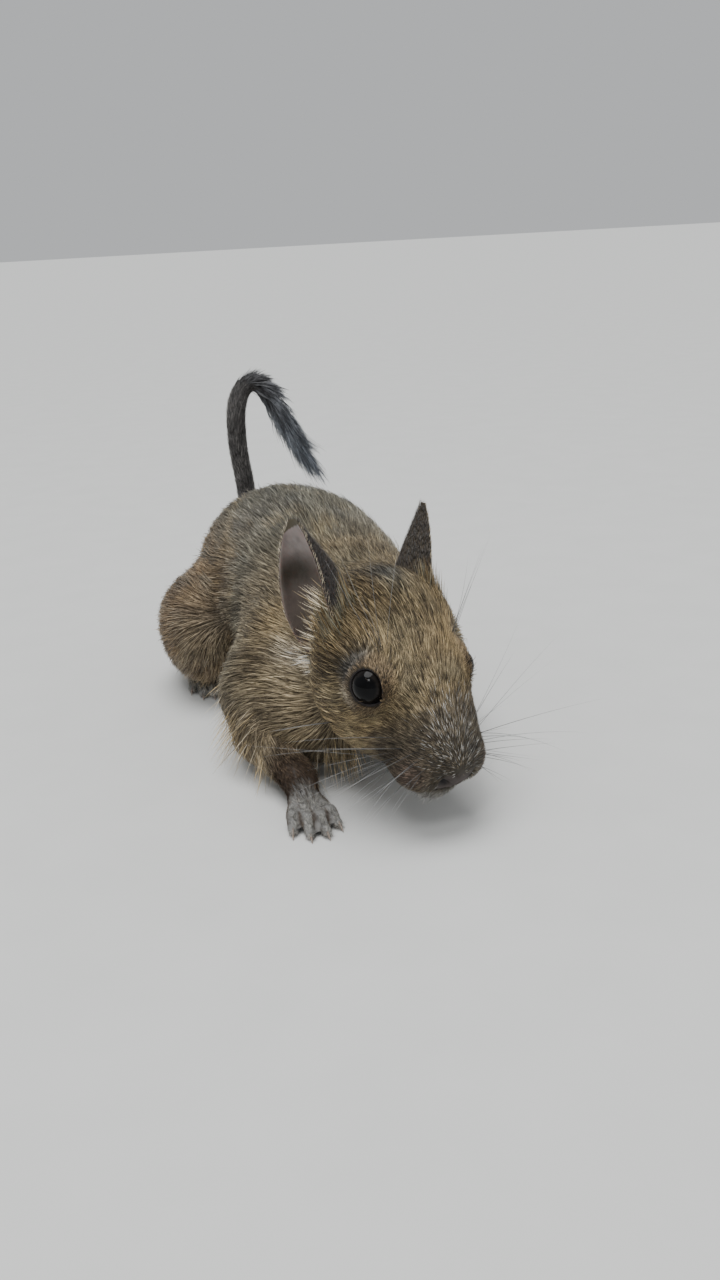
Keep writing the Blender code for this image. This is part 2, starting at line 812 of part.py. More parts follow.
def leg_region(kind, side):
    """The middle and the radii of the ball that takes one leg out of the body."""
    if kind == "hindleg":
        return np.array((side * 30.0, 12.5, 13.0)), (19.0, 27.0, 18.5)
    elbow, wrist, _ = FORELEGS[side]
    middle = (elbow + wrist) / 2 + (side * 1.0, 6, 0)
    return middle, (12.5, np.linalg.norm(elbow - wrist) / 2 + 11, 11.0)


def part_legs(body):
    """Each foreleg and hind leg, cut from the body by a smooth ball."""
    legs = []
    for kind in ("foreleg", "hindleg"):
        for side, label in ((-1, "right"), (1, "left")):
            centre, radii = leg_region(kind, side)
            inner = round_region(centre, radii, 0.0)
            outer = round_region(centre, radii, GAP)
            legs.append(split(body, f"{kind}_{label}", inner, outer))
    return legs


def boolean_half(target, point, toward):
    """Keeps the side of the target that lies beyond the point."""
    block = half_space("Keep", point, toward)
    boolean(target, block, "INTERSECT")
    remove(block)
    keep_largest(target)


def wrist_block(point, toward):
    """A block just large enough to take the end of a leg off."""
    toward = unit(toward)
    across = unit(np.cross(toward, (0, 0, 1)))
    axes = np.stack([across, np.cross(toward, across), toward], 1)
    return box_solid("Block", point + toward * 3.5, (10.0, 10.0, 7.0), axes)


def make_nodes():
    """Every node of the model, as a list of objects with the kind of their surface."""
    whole = grown("torso", body_forms(), 0.75, 3500)
    clearance = grown("Clearance", body_forms(), 1.5, 7000, outside=GAP + 0.12)
    nodes = []

    for side, label in ((-1, "right"), (1, "left")):
        cut_away(whole, ear_pocket(side))
        nodes.append((ear_solid(f"ear_{label}", side), "ear"))
        nodes.append((eye_solid(f"eye_{label}", side), "eye"))

    for node in tail_solids():
        if node.name == "tail_root":
            boolean(node, clearance, "DIFFERENCE")
            keep_largest(node)
        nodes.append((node, "brush"))
    remove(clearance)

    for side, label in ((-1, "right"), (1, "left")):
        toes = foot_toes(side, FINGERS, FINGER_LENGTH, 1.9)
        frame = forefoot_frame(side)
        forefoot = foot_solid(
            f"forefoot_{label}", forefoot_forms(side), frame, toes, 1.25, 2.4, 380
        )
        elbow, wrist, _ = FORELEGS[side]
        ahead = unit(wrist - elbow)
        boolean_half(forefoot, wrist, ahead)
        cut_away(whole, wrist_block(wrist - ahead * GAP, ahead))
        nodes.append((forefoot, "paw"))

        toes = foot_toes(side, HIND_TOES, HIND_TOE_LENGTH, 2.0)
        frame = hindfoot_frame(side)
        hindfoot = foot_solid(
            f"hindfoot_{label}", hindfoot_forms(side), frame, toes, 1.3, 2.5, 400
        )
        room = grown("Room", hindfoot_forms(side), 0.7, 900, outside=GAP + 0.12)
        cut_away(whole, room)
        nodes.append((hindfoot, "paw"))

    keep_largest(whole)
    legs = part_legs(whole)
    head = split_by_plane(
        whole, "head", HEAD.point((0, 26.0, 6)), HEAD.rotation @ np.array((0, -0.93, 0.37))
    )
    cut_face(head)
    nodes.append((head, "fur"))
    nodes += [(leg, "fur") for leg in legs]
    neck = split_by_plane(whole, "neck", (1, -43.5, 30), (0, -0.94, 0.34))
    nodes.append((neck, "fur"))
    nodes.append((whole, "fur"))
    return nodes


def main():
    for old in list(bpy.data.objects):
        bpy.data.objects.remove(old)
    for node, kind in make_nodes():
        finish(node, kind)


main()
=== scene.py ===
"""The looks of a crouching degu, a still, life-size museum model.

One skin with ears and lids replaces the nodes of flesh. Over it lie tufts of hair that follow the
coat, with eyes, claws, whiskers and the tail's brush as pieces of their own.
"""

import json
import math

import bmesh
import bpy
import numpy as np
from mathutils import Matrix, Vector
from mathutils.kdtree import KDTree

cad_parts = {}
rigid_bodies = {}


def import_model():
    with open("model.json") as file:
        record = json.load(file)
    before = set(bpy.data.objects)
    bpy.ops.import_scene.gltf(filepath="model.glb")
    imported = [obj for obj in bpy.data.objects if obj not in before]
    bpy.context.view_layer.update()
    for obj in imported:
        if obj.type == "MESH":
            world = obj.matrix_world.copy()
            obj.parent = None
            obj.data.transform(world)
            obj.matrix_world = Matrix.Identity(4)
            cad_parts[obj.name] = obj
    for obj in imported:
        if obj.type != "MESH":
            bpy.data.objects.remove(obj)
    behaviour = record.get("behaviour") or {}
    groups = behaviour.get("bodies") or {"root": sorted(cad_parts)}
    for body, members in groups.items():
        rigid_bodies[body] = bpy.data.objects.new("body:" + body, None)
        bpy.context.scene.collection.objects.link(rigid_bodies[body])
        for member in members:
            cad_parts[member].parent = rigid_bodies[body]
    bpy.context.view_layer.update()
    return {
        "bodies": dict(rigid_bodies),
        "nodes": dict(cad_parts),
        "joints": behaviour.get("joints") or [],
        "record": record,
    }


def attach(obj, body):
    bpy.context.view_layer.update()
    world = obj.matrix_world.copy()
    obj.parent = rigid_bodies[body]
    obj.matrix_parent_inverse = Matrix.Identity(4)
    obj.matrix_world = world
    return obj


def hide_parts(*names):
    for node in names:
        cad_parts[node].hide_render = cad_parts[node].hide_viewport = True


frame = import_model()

MM = 0.001
CENTRE_SHIFT = np.array((0.0, 18.3, 0.0))

# Each side of the animal by the sign of its x.
SIDES = ((-1, "right"), (1, "left"))

# Driving sizes of the animal, in millimetres. The ears rise a little past those of the solids.
EYE_RADIUS = 4.1
EAR_HEIGHT = 29.2
EAR_WIDTH = 15.0
EAR_THICKNESS = 0.4
FINGER_LENGTH = 8.2
FINGER_RADIUS = 1.25
FINGER_HEIGHT = 1.9
HIND_TOE_LENGTH = 8.5
HIND_TOE_RADIUS = 1.3
HIND_TOE_HEIGHT = 2.0
TAIL_RADIUS = 3.3
SKIN_VOXEL = 0.66

# How deep the skin lies under the outline, by part of the body.
TORSO_DEPTH = 2.0
NECK_DEPTH = 1.3
HEAD_DEPTH = 0.9
MUZZLE_DEPTH = 0.35
LEG_DEPTH = 1.0
FOOT_DEPTH = 0.2
TAIL_DEPTH = 0.9

# Colours of skin and hair.
GOLD = (0.36, 0.265, 0.135)
STRAW = (0.48, 0.375, 0.215)
GREY = (0.27, 0.265, 0.24)
SLATE = (0.10, 0.112, 0.12)
OLIVE = (0.25, 0.235, 0.17)
RUST = (0.31, 0.20, 0.105)
CREAM = (0.60, 0.53, 0.41)
DUN = (0.135, 0.115, 0.088)
WHITE = (0.55, 0.545, 0.53)
PALE = (0.37, 0.365, 0.35)
BROWN = (0.10, 0.066, 0.044)
SMOKE = (0.115, 0.11, 0.108)
INK = (0.20, 0.22, 0.26)
ROSE = (0.25, 0.15, 0.11)
ASH = (0.31, 0.27, 0.262)
MAUVE = (0.29, 0.24, 0.232)
DUSK = (0.03, 0.025, 0.025)
NOSE = (0.055, 0.042, 0.037)
LIP = (0.23, 0.16, 0.13)
# Painted shade in the nostrils.
NOSTRIL_SHADE = (0.008, 0.006, 0.006)
# A painted pale sheen inside the ears.
PAINTED_SHEEN = (0.56, 0.52, 0.51)
RIM = (0.34, 0.30, 0.27)

# How dark the skin is under the hair, on the body and on the feet: painted shade deep in the coat between
# the tufts.
SKIN_SHADE = 0.32
FOOT_SHADE = 0.55


# Small tools for vectors and smooth randomness.


def unit(vector):
    vector = np.asarray(vector, float)
    return vector / np.linalg.norm(vector)


def units(vectors):
    return vectors / np.maximum(np.linalg.norm(vectors, axis=1, keepdims=True), 1e-9)


def dots(first, second):
    return np.einsum("ij,ij->i", first, second)


def step(low, high, value):
    """Runs smoothly from 0 at low to 1 at high."""
    share = np.clip((value - low) / (high - low), 0.0, 1.0)
    return share * share * (3 - 2 * share)


def bell(*terms):
    """1 where all the terms are 0, and falling off smoothly round it."""
    return np.exp(-sum(term**2 for term in terms))


def noise(points, size, seed):
    """A smooth random value from -1 to 1 that changes over about the size."""
    grid = points / size
    cell = np.floor(grid).astype(np.int64)
    part = grid - cell
    part = part * part * (3 - 2 * part)
    total = np.zeros(len(points))
    for corner in np.ndindex(2, 2, 2):
        at = cell + np.array(corner)
        mixed = at[:, 0] * 73856093 ^ at[:, 1] * 19349663 ^ at[:, 2] * 83492791 ^ seed * 2654435761
        mixed = (mixed ^ (mixed >> 13)) * 1274126177 & 0x7FFFFFFF
        value = (mixed ^ (mixed >> 16)) % 65536 / 32768.0 - 1
        weight = np.prod(np.where(np.array(corner) == 1, part, 1 - part), axis=1)
        total += value * weight
    return total


def noise_slope(points, size, seed):
    """Which way the noise rises fastest, times its size."""
    here = noise(points, size, seed)
    offsets = np.eye(3) * 0.1 * size
    return np.stack([noise(points + offset, size, seed) - here for offset in offsets], 1) * 10


def turn(yaw=0.0, pitch=0.0, roll=0.0):
    """A turn of a body that faces -Y: yaw to its left, pitch of its nose down, roll of its left side up."""
    about_z = Matrix.Rotation(math.radians(yaw), 3, "Z")
    about_x = Matrix.Rotation(math.radians(pitch), 3, "X")
    about_y = Matrix.Rotation(math.radians(-roll), 3, "Y")
    return np.array(about_z @ about_x @ about_y)


class Frame:
    """A place and a turn. Local axes: x to the animal's left, y backwards and z up, as in the world."""

    def __init__(self, origin=(0, 0, 0), rotation=None):
        self.origin = np.array(origin, float)
        self.rotation = np.eye(3) if rotation is None else rotation

    def point(self, local):
        return self.origin + self.rotation @ np.asarray(local, float)

    def points(self, local):
        return self.origin + np.asarray(local, float) @ self.rotation.T

    def local(self, points):
        return (points - self.origin) @ self.rotation

    def turned(self, direction):
        return self.rotation @ np.asarray(direction, float)


BODY = Frame()
HEAD = Frame((-0.5, -77.0, 29.3), turn(13.0, 24.0, -4.0))

# Each foreleg by its side: its elbow, its wrist and how far the foot turns out, in degrees.
FORELEGS = {
    -1: (np.array((-23.0, -45.0, 9.0)), np.array((-21.3, -64.0, 5.4)), 5.0),
    1: (np.array((19.5, -31.0, 9.0)), np.array((14.0, -47.0, 5.4)), 2.0),
}

# Each eye by its side in the head's frame, as if on the animal's left, and the way it looks.
EYE_PLACES = {-1: np.array((10.3, -0.6, 0.3)), 1: np.array((9.6, -0.6, 0.2))}
EYE_AXIS = unit((0.84, -0.44, 0.31))

# How far out of its surface a form still counts.
FORM_REACH = 14.0


# The named forms of the body, in millimetres.


class Ball:
    """An ellipsoid in a frame, set in by its depth, that melts into its neighbours over the width blend."""

    def __init__(self, centre, radii, rotation=None, frame=BODY, blend=6.0, depth=0.0):
        self.centre = frame.point(centre)
        self.radii = np.array(radii, float)
        self.axes = frame.rotation @ (np.eye(3) if rotation is None else rotation)
        self.blend = blend
        self.depth = depth
        self.reach = self.radii.max() + FORM_REACH

    def distance(self, points):
        local = (points - self.centre) @ self.axes
        near = np.linalg.norm(local / self.radii, axis=1)
        slope = np.linalg.norm(local / self.radii**2, axis=1)
        return near * (near - 1.0) / np.maximum(slope, 1e-9) + self.depth

    def add_shell(self, mesh, subdivisions=3):
        scale = Matrix(np.diag(self.radii).tolist())
        matrix = (Matrix(self.axes.tolist()) @ scale).to_4x4()
        matrix.translation = Vector(self.centre)
        bmesh.ops.create_icosphere(mesh, subdivisions=subdivisions, radius=1.0, matrix=matrix)


class Limb:
    """A round limb that tapers from one point to another, set in by its depth."""

    def __init__(self, start, end, start_radius, end_radius, frame=BODY, blend=4.0, depth=0.0):
        self.start = frame.point(start)
        self.end = frame.point(end)
        self.radii = (start_radius, end_radius)
        self.blend = blend
        self.depth = depth
        self.centre = (self.start + self.end) / 2
        self.reach = np.linalg.norm(self.end - self.start) / 2 + max(self.radii) + FORM_REACH

    def distance(self, points):
        along = self.end - self.start
        share = np.clip((points - self.start) @ along / (along @ along), 0.0, 1.0)
        nearest = self.start + share[:, None] * along
        radius = self.radii[0] + (self.radii[1] - self.radii[0]) * share
        return np.linalg.norm(points - nearest, axis=1) - radius + self.depth

    def add_shell(self, mesh):
        steps = max(2, int(np.linalg.norm(self.end - self.start) / min(self.radii)) + 1)
        for share in np.linspace(0.0, 1.0, steps + 1):
            place = self.start + (self.end - self.start) * share
            radius = self.radii[0] + (self.radii[1] - self.radii[0]) * share
            matrix = Matrix.Translation(Vector(place))
            bmesh.ops.create_icosphere(mesh, subdivisions=2, radius=radius * 1.02, matrix=matrix)


FAR = 60.0


def field(points, forms):
    """The distance to the melted surface of the forms: below 0 inside it."""
    total = np.full(len(points), FAR)
    for form in forms:
        near = np.linalg.norm(points - form.centre, axis=1) < form.reach
        if not near.any():
            continue
        first = total[near]
        second = form.distance(points[near])
        overlap = np.maximum(form.blend - np.abs(first - second), 0.0) / form.blend
        total[near] = np.minimum(first, second) - overlap * overlap * form.blend * 0.25
    return total


def slope_of(points, forms, here=None, reach=0.05):
    if here is None:
        here = field(points, forms)
    slope = np.stack([field(points + offset, forms) - here for offset in np.eye(3) * reach], 1)
    return units(slope)


def settle(points, forms, rounds=4):
    """Moves points onto the melted surface, along the slope of the distance."""
    for _ in range(rounds):
        here = field(points, forms)
        points = points - slope_of(points, forms, here) * here[:, None]
    return points


def torso_forms():
    d = TORSO_DEPTH
    forms = [
        Ball((3.5, 3, 27.5), (23.5, 37, 24), blend=8, depth=d),
        Ball((3, 20, 25.5), (22, 25, 22), blend=8, depth=d),
        Ball((2, -24, 25.5), (21.5, 29, 19.5), blend=10, depth=d),
        Ball((0, 34, 19), (13, 12, 12), blend=8, depth=d),
    ]
    for side, _ in SIDES:
        forms.append(Ball((side * 15 + 0.5, -37, 18.5), (13, 16, 14.5), blend=8, depth=d))
        thigh = turn(yaw=side * 8, pitch=-14)
        forms.append(Ball((side * 21, 13, 17), (12.5, 21, 15), thigh, blend=7, depth=d))
    return forms


def neck_forms():
    return [
        Limb((2, -38, 26), (0, -58, 32), 18, 15, blend=10, depth=NECK_DEPTH),
        Ball((-11, -51.5, 14), (12, 11.5, 11.5), blend=9, depth=NECK_DEPTH),
    ]


def head_forms():
    """The skull, muzzle, jaw and cheeks, in the head's frame: the eyes' middle is its origin."""
    h, m = HEAD_DEPTH, MUZZLE_DEPTH
    forms = [
        Ball((0, 10, 0.6), (13.3, 15.5, 12.3), frame=HEAD, blend=5, depth=h),
        Ball((0, -2.0, -2.6), (11.3, 13.5, 10.4), turn(pitch=26), frame=HEAD, blend=6, depth=h),
        Ball((0, -11, -7.4), (9.7, 9.6, 7.7), turn(pitch=22), frame=HEAD, blend=5, depth=h * 0.8),
        Ball((0, -17.3, -9.4), (3.7, 3.6, 3.5), frame=HEAD, blend=3, depth=m),
        Ball((0, -5.5, -13.7), (6.6, 11, 5.2), frame=HEAD, blend=5, depth=h),
        Ball((0, -14.4, -15.8), (4.4, 3.8, 3.2), frame=HEAD, blend=3, depth=m),
    ]
    for side, _ in SIDES:
        lid = EYE_PLACES[side] * (side, 1, 1)
        forms += [
            Ball((side * 5.1, -13.9, -10.3), (5.3, 5.6, 5.0), frame=HEAD, blend=2.5, depth=m),
            Ball((side * 7.4, 4.0, -8.8), (7.8, 12.5, 8.6), frame=HEAD, blend=6, depth=h),
            Ball((side * 8.6, 12.0, 2.0), (5.5, 6.5, 6.5), frame=HEAD, blend=6, depth=h),
            Ball(lid, [EYE_RADIUS + 0.8] * 3, frame=HEAD, blend=2.4, depth=0.3),
        ]
    return forms


def foreleg_forms(side):
    elbow, wrist, _ = FORELEGS[side]
    shoulder = elbow + np.array((side * -1.0, 9, 5))
    return [
        Limb(shoulder, elbow, 8.6, 6.8, blend=6, depth=LEG_DEPTH * 1.4),
        Limb(elbow, wrist, 6.6, 3.6, blend=3, depth=LEG_DEPTH * 0.8),
    ]


def hindleg_forms(side):
    return [Limb((side * 23, 8, 11.5), (side * 19.0, 31, 9), 6.5, 4.8, blend=5, depth=LEG_DEPTH)]


# The heel on the animal's left, and how far the foot turns out, in degrees.
HINDFOOT_HEEL = np.array((18.0, 33.0, 2.9))
HINDFOOT_TURN = 9.0

# Each toe: how far to its side, forward of the joint, its heading in degrees and its share of the length.
FINGERS = ((-3.1, 7.2, -12, 0.86), (-1.1, 8.2, -3, 1.05), (1.1, 8.2, 5, 1.02), (3.1, 7.0, 14, 0.84))
HIND_TOES = (
    (-3.6, 19.5, -14, 0.72),
    (-1.9, 21.8, -6, 1.0),
    (0.0, 22.4, 0, 1.05),
    (1.9, 21.8, 6, 1.0),
    (3.6, 19.3, 15, 0.75),
)


def forefoot_frame(side):
    _, wrist, out = FORELEGS[side]
    return Frame((wrist[0], wrist[1], 0), turn(yaw=side * out))


def hindfoot_frame(side):
    return Frame((side * HINDFOOT_HEEL[0], HINDFOOT_HEEL[1], 0), turn(yaw=side * HINDFOOT_TURN))


def foot_toes(side, toes, length, height):
    """The root, heading and length of each toe of one foot."""
    return [
        ((side * across, -ahead, height), math.radians(side * heading), length * share)
        for across, ahead, heading, share in toes
    ]


def toe_forms(frame, root, heading, length, radius):
    """One toe in the foot's frame: up over the knuckle and down to its pad on the floor."""
    direction = np.array((math.sin(heading), -math.cos(heading), 0))
    knuckle = np.array(root) + direction * length * 0.45 + (0, 0, 0.5)
    pad = np.array(root) + direction * length * 0.9
    pad[2] = radius * 0.8
    d = FOOT_DEPTH
    return [
        Limb(root, knuckle, radius * 1.05, radius, frame=frame, blend=1.2, depth=d),
        Limb(knuckle, pad, radius, radius * 0.92, frame=frame, blend=1.2, depth=d),
    ]


def forefoot_forms(side):
    """The wrist, the palm and its rays, the small thumb and the four fingers."""
    frame = forefoot_frame(side)
    _, wrist, _ = FORELEGS[side]
    d = FOOT_DEPTH
    forms = [
        Limb((0, 0, wrist[2]), (0, -4.0, 3.4), 3.6, 3.2, frame=frame, blend=3, depth=0.7),
        Ball((0, -6.0, 2.0), (4.4, 4.6, 2.6), frame=frame, blend=2.5, depth=1.1),
        Ball((side * -3.6, -4.6, 1.5), (1.4, 2.2, 1.3), frame=frame, blend=1.2, depth=d),
    ]
    for root, heading, length in foot_toes(side, FINGERS, FINGER_LENGTH, FINGER_HEIGHT):
        start = (root[0] * 0.6, -2.5, 3.6)
        forms.append(Limb(start, root, 1.15, 1.2, frame=frame, blend=0.5, depth=d))
        forms += toe_forms(frame, root, heading, length, FINGER_RADIUS)
    return forms


def finger_distance(points):
    """How far each point is, seen from above, from the middle of the nearest finger or of its ray."""
    nearest = np.full(len(points), FAR)
    for side, _ in SIDES:
        frame = forefoot_frame(side)
        for root, heading, length in foot_toes(side, FINGERS, FINGER_LENGTH, FINGER_HEIGHT):
            tip = np.array(root) + (math.sin(heading) * length, -math.cos(heading) * length, -0.9)
            line = frame.points([(root[0] * 0.6, -2.5, 0), root, tip])
            nearest = np.minimum(nearest, near_line(points * (1, 1, 0), line * (1, 1, 0)))
    return nearest


def hindfoot_forms(side):
    frame = hindfoot_frame(side)
    d = FOOT_DEPTH
    forms = [
        Limb((0, 0, 3.0), (0, -15, 2.6), 3.3, 3.2, frame=frame, blend=3, depth=d),
        Ball((0, -18.5, 2.0), (4.8, 5.2, 2.7), frame=frame, blend=3, depth=d),
    ]
    for root, heading, length in foot_toes(side, HIND_TOES, HIND_TOE_LENGTH, HIND_TOE_HEIGHT):
        forms += toe_forms(frame, root, heading, length, HIND_TOE_RADIUS)
    return forms


# The line of the tail from inside the rump, up, over and down again.
TAIL_LINE = (
    (2.0, 36.0, 18.0),
    (2.5, 46.0, 21.0),
    (3.3, 51.5, 31.0),
    (3.4, 52.5, 43.0),
    (2.2, 52.6, 55.0),
    (2.4, 52.3, 66.0),
    (5.2, 51.8, 72.6),
    (9.2, 51.0, 72.4),
    (12.6, 49.8, 68.2),
    (15.7, 48.4, 61.4),
    (19.2, 47.2, 54.2),
)
BRUSH_START = 6.3


def tail_point(along):
    """A smooth curve through the tail's line, where whole numbers are its points."""
    last = len(TAIL_LINE) - 1
    k = min(int(along), last - 1)
    rest = along - k
    p = [np.array(TAIL_LINE[min(max(k + i, 0), last)], float) for i in (-1, 0, 1, 2)]
    return 0.5 * (
        2 * p[1]
        + (p[2] - p[0]) * rest
        + (2 * p[0] - 5 * p[1] + 4 * p[2] - p[3]) * rest**2
        + (3 * p[1] - p[0] - 3 * p[2] + p[3]) * rest**3
    )


def tail_radius(along):
    """Thick at the rump, then even, slimmer round the bend, and a slim core under the brush."""
    root = 1.25 - 0.25 * min(along / 2, 1)
    bend = 1 - 0.15 * math.exp(-(((along - 6.3) / 0.6) ** 2))
    brush = 1 - 0.6 * min(max((along - BRUSH_START) / 2.6, 0), 1)
    return TAIL_RADIUS * root * bend * brush


TAIL_STEPS = np.linspace(0, 10, 61)
TAIL_POINTS = np.array([tail_point(along) for along in TAIL_STEPS])
TAIL_HEADINGS = units(np.gradient(TAIL_POINTS, axis=0))


def tail_forms():
    forms = []
    for first, second in zip(TAIL_STEPS[:-1:2], TAIL_STEPS[2::2]):
        radii = [max(tail_radius(along) - TAIL_DEPTH, 0.5) for along in (first, second)]
        forms.append(Limb(tail_point(first), tail_point(second), *radii, blend=0.5))
    return forms


GROUPS = {"torso": torso_forms(), "neck": neck_forms(), "head": head_forms()}
for kind, make_forms in (
    ("foreleg", foreleg_forms),
    ("hindleg", hindleg_forms),
    ("forefoot", forefoot_forms),
    ("hindfoot", hindfoot_forms),
):
    for side, label in SIDES:
        GROUPS[f"{kind}_{label}"] = make_forms(side)
GROUPS["tail"] = tail_forms()
FORMS = [form for forms in GROUPS.values() for form in forms]


# Reading and making meshes.


def read(items, key, width=1, kind=np.float32):
    """A row of numbers for each item of a mesh."""
    flat = np.empty(len(items) * width, kind)
    items.foreach_get(key, flat)
    return flat.reshape(-1, width)


def read_points(mesh):
    return read(mesh.vertices, "co", 3).astype(float)


def write_points(mesh, points):
    mesh.vertices.foreach_set("co", np.asarray(points, np.float32).ravel())
    mesh.update()


def read_triangles(mesh):
    mesh.calc_loop_triangles()
    return read(mesh.loop_triangles, "vertices", 3, np.int32)


def add_object(name, mesh):
    made = bpy.data.objects.new(name, mesh)
    bpy.context.scene.collection.objects.link(made)
    return made


def solid_from(name, mesh):
    data = bpy.data.meshes.new(name)
    mesh.to_mesh(data)
    mesh.free()
    return add_object(name, data)


def apply_modifiers(target):
    """The target's mesh becomes what its modifiers make of it."""
    graph = bpy.context.evaluated_depsgraph_get()
    mesh = bpy.data.meshes.new_from_object(target.evaluated_get(graph))
    target.modifiers.clear()
    target.data = mesh


def boolean(target, other, operation):
    cut = target.modifiers.new("Cut", "BOOLEAN")
    cut.operation = operation
    cut.object = other
    cut.solver = "MANIFOLD"
    apply_modifiers(target)
    bpy.data.objects.remove(other)


def add_tube(mesh, rows):
    """A closed surface through rows of points of one length, with flat ends."""
    rings = [[mesh.verts.new(point) for point in row] for row in rows]
    count = len(rings[0])
    for lower, upper in zip(rings, rings[1:]):
        for i in range(count):
            j = (i + 1) % count
            mesh.faces.new((lower[i], lower[j], upper[j], upper[i]))
    mesh.faces.new(rings[0][::-1])
    mesh.faces.new(rings[-1])


def closed_solid(name, mesh):
    """The object of a closed mesh, with all its faces turned outward."""
    bmesh.ops.recalc_face_normals(mesh, faces=mesh.faces)
    return solid_from(name, mesh)


def tube_solid(name, rows):
    mesh = bmesh.new()
    add_tube(mesh, rows)
    return closed_solid(name, mesh)


def ball_solid(name, centre, radius, subdivisions=4):
    mesh = bmesh.new()
    Ball(centre, (radius, radius, radius)).add_shell(mesh, subdivisions)
    return solid_from(name, mesh)


def place_piece(piece, slot, *materials):
    """Moves a finished solid to its place in metres and gives it its surface."""
    write_points(piece.data, (read_points(piece.data) + CENTRE_SHIFT) * MM)
    piece.data.materials.clear()
    for material in materials:
        piece.data.materials.append(material)
    piece.data.shade_smooth()
    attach(piece, "root")


# The ear in the head's frame: the notch where its edges meet, and its tip.
EAR_NOTCH = np.array((11.7, 14.6, -5.7))
EAR_TIP = np.array((17.4, 27.4, 19.6))
EAR_FACING = {-1: 88.0, 1: 72.0}
EAR_CLOSING = {-1: 1.0, 1: 0.84}
EAR_BREADTH = {-1: 1.0, 1: 0.74}

# Up the ear: how wide the leaf is, and how far its edge curls round on each side, in degrees.
EAR_STATIONS = (0.0, 0.12, 0.3, 0.5, 0.7, 0.86, 0.95, 1.0)
EAR_LEAF = (0.46, 0.88, 1.09, 1.04, 0.86, 0.57, 0.32, 0.1)
EAR_CURL = (150.0, 120.0, 102.0, 94.0, 80.0, 60.0, 46.0, 38.0)


def smooth_table(value, amounts):
    """Reads a table of the ear through a smoothing window, so that no kink shows."""
    offsets = (-0.05, -0.025, 0.0, 0.025, 0.05)
    return float(np.mean([np.interp(value + o, EAR_STATIONS, amounts) for o in offsets]))


def ear_lean(rise):
    """How far the line of the ear bows forward, with the tip falling back."""
    return 1.6 * rise * (1 - rise) - 1.2 * rise**2


def ear_axes(side):
    """Directions of one ear, as if on the left: up to the tip, out of the cup, and to its front edge."""
    up = unit(EAR_TIP - EAR_NOTCH)
    facing = math.radians(EAR_FACING[side])
    out = np.array((math.sin(facing), -math.cos(facing), 0.0))
    out = unit(out - up * (out @ up))
    return up, out, np.cross(out, up)


def ear_wall(side, rise, turned):
    """A place on the inside of the ear's wall and the direction to its outside, as if on the left."""
    up, out, front = ear_axes(side)
    half_width = smooth_table(rise, EAR_LEAF) * EAR_WIDTH * EAR_BREADTH[side] / 2
    curl = math.radians(smooth_table(rise, EAR_CURL)) * EAR_CLOSING[side]
    radius = half_width / math.sin(min(curl, math.pi / 2))
    angle = turned * curl
    outward = front * math.sin(angle) - out * math.cos(angle)
    axis = EAR_NOTCH + up * rise * EAR_HEIGHT + out * (ear_lean(rise) + radius * math.cos(curl))
    return axis + outward * radius, outward


def ear_relief(rise, turned):
    """Low ridges and hollows of the cup's inside, in millimetres."""
    front_ridge = math.exp(-(((turned - 0.42) / 0.16) ** 2))
    ridge = front_ridge * step(0.05, 0.2, rise) * (1 - step(0.45, 0.75, rise))
    second = math.exp(-(((turned + 0.25) / 0.2) ** 2)) * (1 - step(0.3, 0.6, rise))
    ripple = 0.10 * math.sin(rise * 17 + turned * 5)
    return -0.55 * ridge - 0.35 * second + ripple * (1 - abs(turned))


def ear_solid(name, side, steps_up=56, steps_round=44):
    """The thin cup of one ear, in the head's place."""
    mesh = bmesh.new()
    inner, outer = [], []
    for i in range(steps_up + 1):
        rise = 1 - (1 - i / steps_up) ** 1.3
        inner_row, outer_row = [], []
        for j in range(steps_round + 1):
            turned = 2 * j / steps_round - 1
            place, outward = ear_wall(side, rise, turned)
            edge = (1 - abs(turned) ** 8) * (1 - rise**10)
            thickness = 0.12 + EAR_THICKNESS * edge * (1 - 0.4 * rise)
            inside = place + outward * (0.1 + ear_relief(rise, turned) * edge)
            for row, point in ((inner_row, inside), (outer_row, place + outward * (0.1 + thickness))):
                row.append(mesh.verts.new(HEAD.point(point * (side, 1, 1))))
        inner.append(inner_row)
        outer.append(outer_row)
    for i in range(steps_up):
        for j in range(steps_round):
            for grid in (inner, outer):
                a, b = grid[i][j], grid[i][j + 1]
                c, d = grid[i + 1][j + 1], grid[i + 1][j]
                mesh.faces.new((a, b, c))
                mesh.faces.new((a, c, d))
    rim = (
        [(inner[i][0], outer[i][0]) for i in range(steps_up)]
        + [(inner[-1][j], outer[-1][j]) for j in range(steps_round)]
        + [(inner[i][-1], outer[i][-1]) for i in range(steps_up, 0, -1)]
        + [(inner[0][j], outer[0][j]) for j in range(steps_round, 0, -1)]
    )
    for (a, b), (c, d) in zip(rim, rim[1:] + rim[:1]):
        mesh.faces.new((a, b, d))
        mesh.faces.new((a, d, c))
    return closed_solid(name, mesh)


def ear_pocket(side, steps_up=12, steps_round=24):
    """The room inside the cup of one ear, with the way out of it."""
    _, out, front = ear_axes(side)
    rows = []
    for i in range(steps_up + 1):
        rise = 0.03 + 0.8 * i / steps_up
        row = []
        for j in range(steps_round + 1):
            place, outward = ear_wall(side, rise, 2 * j / steps_round - 1)
            row.append(place + outward * 0.2)
        row.append(row[-1] + out * 3.5 + front * 0.3)
        row.append(row[0] + out * 3.5 - front * 0.3)
        rows.append([HEAD.point(point * (side, 1, 1)) for point in row])
    return tube_solid("Pocket", rows)


def eye_frame(side):
    """The middle of the eye, and the directions across it, up it and out of it."""
    centre = HEAD.point(EYE_PLACES[side] * (side, 1, 1))
    axis = HEAD.turned(EYE_AXIS * (side, 1, 1))
    up = unit(HEAD.turned((0, 0.35, 1.0)))
    up = unit(up - axis * (up @ axis))
    return centre, np.cross(up, axis), up, axis


